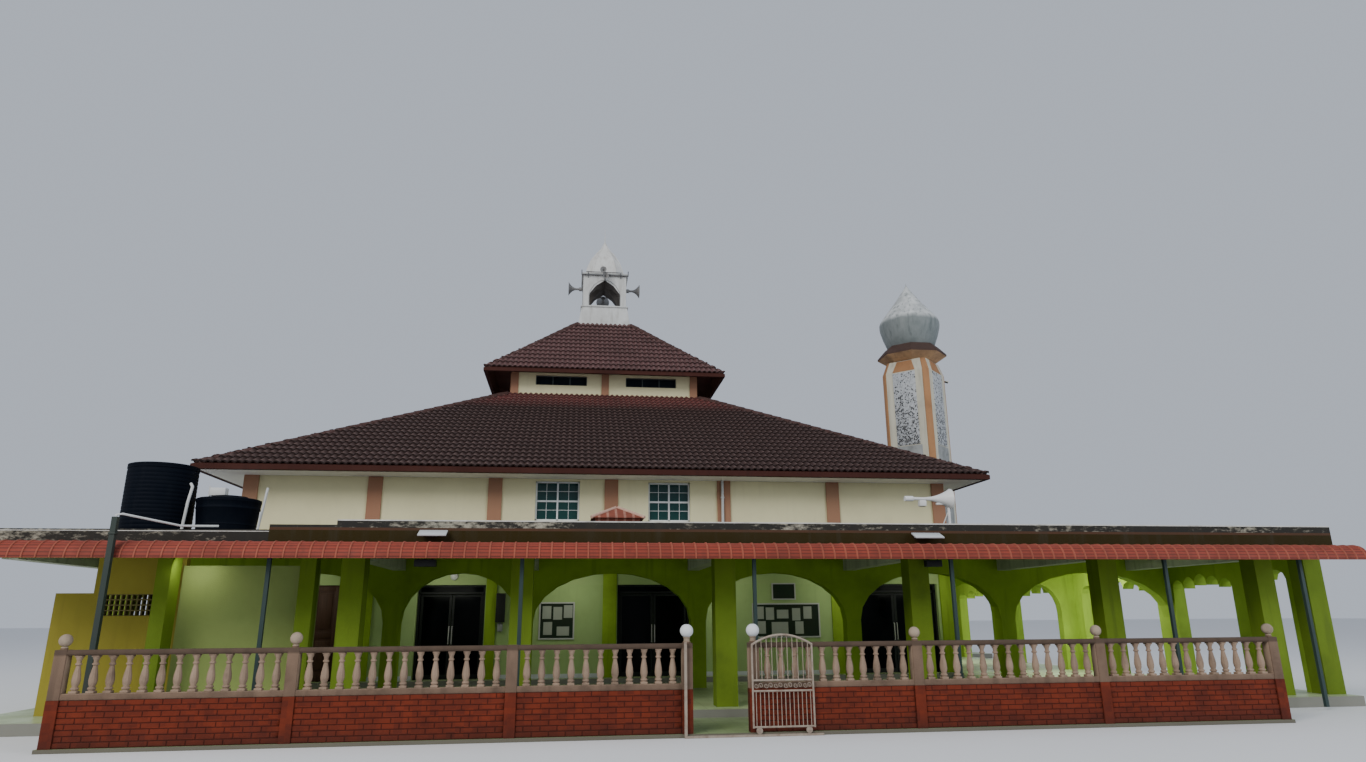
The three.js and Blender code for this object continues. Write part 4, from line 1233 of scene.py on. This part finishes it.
# Corner post: hollow steel section painted dark green, with a collar at foot and head, standing
# clear of the awning.
dark_green_steel = masonry("dark_green_steel", (0.025, 0.040, 0.036), (0.05, 0.045, 0.035), rough=0.5,
                           patches=0.5, bump=0.06)
coat("corner_post", dark_green_steel)
collars = [beam("collar", (-8.057, -16.042, z), (-7.953, -15.940 if z < 2 else -15.951, z + 0.03), 0.004)
           for z in (0.02, 2.98)]
belongs(joined("corner_post_collars", collars), dark_green_steel)


# Small hip roof on the verandah slab: fired clay tiles in rows, red and worn pale, with a round line
# of mortar laid on each hip.
SMALL_ROOF_X = -0.15
SMALL_ROOF_Y = -14.5


def clay_finish():
    finish, shader, place = start_finish("small_clay_tiles", 0.8)
    worn = more(fraction(times(plus(parts_of(place)[0], 20.0), 6.5)), 0.72)
    tile = mix(times(worn, 0.6), (0.23, 0.060, 0.034), (0.50, 0.27, 0.20))
    weather(shader, place, tile, (0.085, 0.04, 0.03), patches=0.6, streaks=0.3, patch_size=5.0,
            grain_size=80.0, bump=0.4)
    return finish


coat("small_hip_roof", clay_finish())
hips = []
for across in (-1, 1):
    for deep in (-1, 1):
        hips.append(tube("hip", [(SMALL_ROOF_X + across * 0.475, SMALL_ROOF_Y + deep * 0.475, 3.418),
                                 (SMALL_ROOF_X + across * 0.02, SMALL_ROOF_Y + deep * 0.02, 3.640)], 0.030,
                                 8))
belongs(joined("small_roof_hips", hips),
        masonry("hip_mortar", (0.55, 0.36, 0.28), (0.22, 0.13, 0.10), patches=0.6,
                                                 patch_size=6.0))


# Floodlights: two flat panels of painted aluminium, tilted over the awning on bent stirrups that are
# fixed to the slab edge.
panel_white = masonry("lamp_housing", (0.52, 0.56, 0.58), (0.35, 0.35, 0.33), rough=0.35, patches=0.3,
                      bump=0.03)
LAMP_TILT = math.radians(24)
LAMP_AT = (0, -15.36, 3.085)
floods = []
for left, right in ((-3.53, -3.06), (5.19, 5.73)):
    lamp = beam("floodlight", (left, -0.12, -0.014), (right, 0.12, 0.014), 0.008)
    seat(lamp, Matrix.Translation(LAMP_AT) @ Matrix.Rotation(LAMP_TILT, 4, "X"))
    floods.append(lamp)
    for x in (left + 0.08, right - 0.08):
        floods.append(tube("stirrup", [(x, -15.19, 3.06), (x, -15.27, 3.07), (x, -15.34, 3.08)], 0.008, 6))
belongs(joined("floodlights", floods), panel_white)


# Downpipe: white plastic pipe down the fifth pilaster of the hall front, from the eave to the
# verandah slab, held by two clips.
PIPE_X = 2.83
PIPE_Y = -8.90
downpipe = tube("downpipe", [(PIPE_X, PIPE_Y, 5.05), (PIPE_X, PIPE_Y, 3.205)], 0.035, 12)
clips = [beam("clip", (PIPE_X - 0.045, -8.94, z), (PIPE_X + 0.045, -8.855, z + 0.03), 0.004)
         for z in (3.6, 4.6)]
belongs(joined("hall_downpipe", [downpipe, *clips]), pipe_white)


# Door leaves: glass in dark aluminium, each with two stiles, a top rail and a deep bottom rail, and
# an upright pull on the meeting stile. They hang in the frames by pivots and open into the hall.
LEAF_FRONT = -8.606
LEAF_BACK = -8.598
LEAF_FOOT = 0.308
LEAF_HEAD = 2.242
STILE = 0.060
LIP_FRONT = -8.688
LIP_BACK = -8.676
door_metal = masonry("door_frame_dark", (0.006, 0.008, 0.006), (0.012, 0.013, 0.011), rough=0.6, bump=0.05)
door_glass = glazing("door_glass", (0.0008, 0.0015, 0.0014), (0.003, 0.005, 0.0045), 0.15, gloss=0.05)
for door in "abc":
    coat(f"door_frame_{door}", door_metal)
    coat(f"door_{door}_left", door_glass)
    coat(f"door_{door}_right", door_glass)
leaf_edge = masonry("leaf_edge_dark", (0.010, 0.013, 0.011), (0.020, 0.021, 0.018), rough=0.45, bump=0.04)
pull_metal = masonry("pull_bright", (0.50, 0.50, 0.48), (0.30, 0.29, 0.27), rough=0.3, patches=0.3, bump=0.02)
for door, (left, right) in {"a": (-4.57, -2.98), "b": (0.19, 1.98), "c": (6.19, 8.40)}.items():
    middle = (left + right) / 2
    for side, x0, x1 in (("left", left + 0.068, middle - 0.006), ("right", middle + 0.006, right - 0.068)):
        trim = [beam("stile", (x, LEAF_FRONT, LEAF_FOOT), (x + STILE, LEAF_BACK, LEAF_HEAD), 0.002, 1)
                for x in (x0, x1 - STILE)]
        for low, high in ((LEAF_FOOT, LEAF_FOOT + 0.10), (LEAF_HEAD - 0.055, LEAF_HEAD)):
            trim.append(beam("rail", (x0 + STILE - 0.002, LEAF_FRONT + 0.001, low),
                             (x1 - STILE + 0.002, LEAF_BACK, high), 0.002, 1))
        body = f"door_{door}_{side}"
        belongs(joined(f"{body}_rails", trim), leaf_edge, body)
        grip = (x1 - STILE / 2) if side == "left" else (x0 + STILE / 2)
        pull = tube(f"{body}_pull", [(grip, LEAF_FRONT + 0.004, 1.10), (grip, LEAF_FRONT - 0.042, 1.10),
                                     (grip, LEAF_FRONT - 0.042, 1.50), (grip, LEAF_FRONT + 0.004, 1.50)],
                                     0.011)
        belongs(pull, pull_metal, body)
    light = beam(f"door_{door}_fanlight", (left + 0.050, -8.640, 2.292), (right - 0.050, -8.632, 2.418),
                 0.002, 1)
    belongs(light, door_glass)
    casing = [beam("casing", (x0, LIP_FRONT, low), (x1, LIP_BACK, high), 0.003, 1) for x0, x1, low, high in (
        (left + 0.004, right - 0.004, 2.250, 2.296), (left + 0.056, right - 0.056, 2.412, 2.458),
        (left + 0.002, left + 0.058, 0.302, 2.458), (right - 0.058, right - 0.002, 0.302, 2.458))]
    belongs(joined(f"door_{door}_casing", casing), leaf_edge)


# Store doors: a pair of brown timber leaves framed from stiles and rails, each with two panels set
# back a little, kept shut by a hasp.
def timber_finish():
    finish, shader, place = start_finish("brown_timber", 0.55)
    grain = noise(scaled(place, (42.0, 0.0, 2.2)), 1.0, 5.0)
    wood = mix(grain, (0.030, 0.012, 0.007), (0.110, 0.052, 0.030))
    weather(shader, place, wood, (0.030, 0.018, 0.013), patches=0.4, streaks=0.2, grain_size=60.0, bump=0.08)
    return finish


timber = timber_finish()
coat("brown_door", timber)
rails = []
for left, right in ((-7.60, -6.985), (-6.975, -6.36)):
    for x in (left + 0.004, right - 0.104):
        rails.append(beam("stile", (x, -8.700, 0.308), (x + 0.10, -8.674, 2.452), 0.006))
    for low, high in ((0.308, 0.50), (1.26, 1.40), (2.33, 2.452)):
        rails.append(beam("rail", (left + 0.10, -8.699, low), (right - 0.10, -8.674, high), 0.006))
    for low, high in ((0.56, 1.20), (1.46, 2.27)):
        rails.append(beam("panel", (left + 0.155, -8.694, low), (right - 0.155, -8.674, high), 0.014))
belongs(joined("store_door_rails", rails), timber)
hasp = [beam("hasp", (-7.03, -8.712, 1.30), (-6.93, -8.698, 1.33), 0.003),
        tube("shackle", [(-6.965, -8.706, 1.30), (-6.965, -8.712, 1.25), (-6.945, -8.712, 1.25),
                         (-6.945, -8.706, 1.30)], 0.004, 6)]
belongs(joined("store_door_hasp", hasp), pull_metal)


# Door wall trim: flat lime green casings between the doors, standing as proud as the pilasters above,
# and a white skirting along the foot of the wall.
CASING_FRONT = -8.856
WALL_FACE = -8.798
WALL_FOOT = 0.302
white_paint = masonry("white_paint", (0.58, 0.61, 0.63), (0.28, 0.27, 0.24), patches=0.25, streaks=0.30)
casings = [beam("casing", (left, CASING_FRONT, WALL_FOOT), (right, WALL_FACE, 2.998), 0.006)
           for left, right in ((-8.796, -8.46), (-5.92, -5.58), (-2.965, -2.71), (-0.17, 0.17), (2.71, 3.05),
                               (5.58, 5.92), (8.46, 8.796))]
belongs(joined("door_wall_casings", casings), lime_green)
skirts = [beam("skirting", (left, -8.812, WALL_FOOT), (right, WALL_FACE, 0.40), 0.004, 1)
          for left, right in ((-8.455, -7.61), (-6.35, -5.925), (-5.575, -4.58), (-2.705, -0.175),
                              (2.0, 2.705), (3.055, 5.575))]
belongs(joined("door_wall_skirting", skirts), white_paint)


# Boards on the door wall: framed softboards with plain sheets pinned to them, a framed panel, a black
# cupboard with a small grey meter under it, and a lamp with a round cover over the first door.
board_green = masonry("softboard_felt", (0.014, 0.034, 0.020), (0.035, 0.022, 0.018), rough=0.9, patches=0.5,
                      bump=0.3)
paper = masonry("plain_paper", (0.36, 0.38, 0.33), (0.20, 0.24, 0.17), rough=0.8, patches=0.3, bump=0.03)
box_black = masonry("cupboard_black", (0.018, 0.019, 0.020), (0.045, 0.044, 0.040), rough=0.5, patches=0.4,
                    bump=0.03)
BAR_FRONT = -8.834
meter_grey = masonry("meter_grey", (0.30, 0.31, 0.31), (0.16, 0.16, 0.15), rough=0.5, patches=0.4, bump=0.03)


def board(left, right, low, high, sheets=(), edge=0.035, lap=0.01):
    felt = beam("felt", (left + lap, -8.824, low + lap), (right - lap, WALL_FACE, high - lap), 0.002, 1)
    frame_bars = [beam("bar", (left, BAR_FRONT, z), (right, WALL_FACE, z + edge), 0.003, 1)
                  for z in (low, high - edge)]
    frame_bars += [beam("bar", (x, BAR_FRONT, low + edge), (x + edge, WALL_FACE, high - edge), 0.003, 1)
                   for x in (left, right - edge)]
    pinned = [beam("sheet", (x, -8.827, z), (x + wide, -8.8225, z + tall), 0.001, 1)
              for x, z, (wide, tall) in sheets]
    return [felt], frame_bars, pinned


UPRIGHT = (0.21, 0.297)
SIDEWAYS = (0.297, 0.21)
WIDE = (0.42, 0.297)
felts, bars, pinned = (sum(kind, []) for kind in zip(
    board(-1.69, -0.84, 1.18, 2.05, [(-1.61, 1.66, UPRIGHT), (-1.35, 1.64, UPRIGHT), (-1.10, 1.68, UPRIGHT),
                                     (-1.58, 1.29, UPRIGHT), (-1.26, 1.27, SIDEWAYS)]),
    board(3.54, 5.26, 1.17, 2.00, [(3.62, 1.62, UPRIGHT), (3.88, 1.60, UPRIGHT), (4.16, 1.63, SIDEWAYS),
                                   (4.55, 1.58, UPRIGHT), (4.84, 1.62, UPRIGHT), (3.66, 1.27, UPRIGHT),
                                   (4.02, 1.25, WIDE), (4.62, 1.26, UPRIGHT)]),
    board(4.05, 4.66, 2.08, 2.49, edge=0.03, lap=0.02)))
belongs(joined("notice_felts", felts), board_green)
belongs(joined("notice_frames", bars), pull_metal)
belongs(joined("notice_sheets", pinned), paper)
cupboard = [beam("cupboard", (-2.70, -8.93, 1.60), (-2.50, WALL_FACE, 2.25), 0.008),
            beam("lid", (-2.71, -8.942, 1.59), (-2.49, -8.926, 2.26), 0.004),
            beam("knob", (-2.525, -8.952, 1.90), (-2.510, -8.938, 1.95), 0.003)]
belongs(joined("wall_cupboard", cupboard), box_black)
meter = [beam("meter", (-2.66, -8.885, 1.38), (-2.54, WALL_FACE, 1.56), 0.012, 3),
         tube("conduit", [(-2.60, -8.826, 1.55), (-2.60, -8.826, 1.615)], 0.012)]
belongs(joined("wall_meter", meter), meter_grey)
lamp = lathe("door_lamp", [(0.006, 0.0), (0.085, 0.002), (0.095, 0.03), (0.09, 0.06), (0.06, 0.095),
                           (0.006, 0.11)],
             20, Matrix.Translation((-3.73, -8.797, 2.66)) @ Matrix.Rotation(math.pi / 2, 4, "X"))
belongs(lamp, masonry("lamp_cover", (0.62, 0.63, 0.60), (0.40, 0.39, 0.33), rough=0.4, patches=0.3,
                      bump=0.03))


# Vent blocks: pierced cement blocks, laid in the opening of the yellow wall in two courses with two
# rows of holes each.
vent = []
VENT_LEFT, VENT_RIGHT, VENT_LOW, VENT_HIGH = -8.98, -7.76, 1.77, 2.13
VENT_COLUMNS = 14
VENT_ROWS = 4
REVEAL = 0.005
for i in range(VENT_COLUMNS + 1):
    x = VENT_LEFT + i * (VENT_RIGHT - VENT_LEFT) / VENT_COLUMNS
    vent.append(beam("web", (max(x - 0.012, VENT_LEFT - REVEAL), -14.085, VENT_LOW - REVEAL),
                     (min(x + 0.012, VENT_RIGHT + REVEAL), -13.965, VENT_HIGH + REVEAL), 0.003, 1))
for i in range(VENT_ROWS + 1):
    z = VENT_LOW + i * (VENT_HIGH - VENT_LOW) / VENT_ROWS
    vent.append(beam("bed", (VENT_LEFT - REVEAL, -14.080, max(z - 0.011, VENT_LOW - REVEAL)),
                     (VENT_RIGHT + REVEAL, -13.970, min(z + 0.011, VENT_HIGH + REVEAL)), 0.003, 1))
belongs(joined("vent_blocks", vent),
        masonry("vent_cement", (0.17, 0.14, 0.05), (0.05, 0.045, 0.03), patches=0.5))


# Small fittings: black gear boxes of the lamps, hung on bent rods under the slab edge behind the
# awning, and the black plastic rain spout of the minaret.
gear = []
for left, right in ((-3.61, -3.25), (5.50, 5.80)):
    gear.append(beam("gear", (left, -15.12, 2.545), (right, -14.98, 2.665), 0.010))
    gear += [tube("hanger", [(x, -15.05, 2.64), (x, -15.05, 2.86), (x, -14.90, 2.93)], 0.008, 6)
             for x in (left + 0.06, right - 0.06)]
belongs(joined("lamp_gear", gear), box_black)
spout = tube("minaret_spout", [(15.30, 5.00, 11.85), (15.60, 5.00, 11.85), (15.74, 5.00, 11.81)], 0.040, 12)
belongs(spout, box_black)
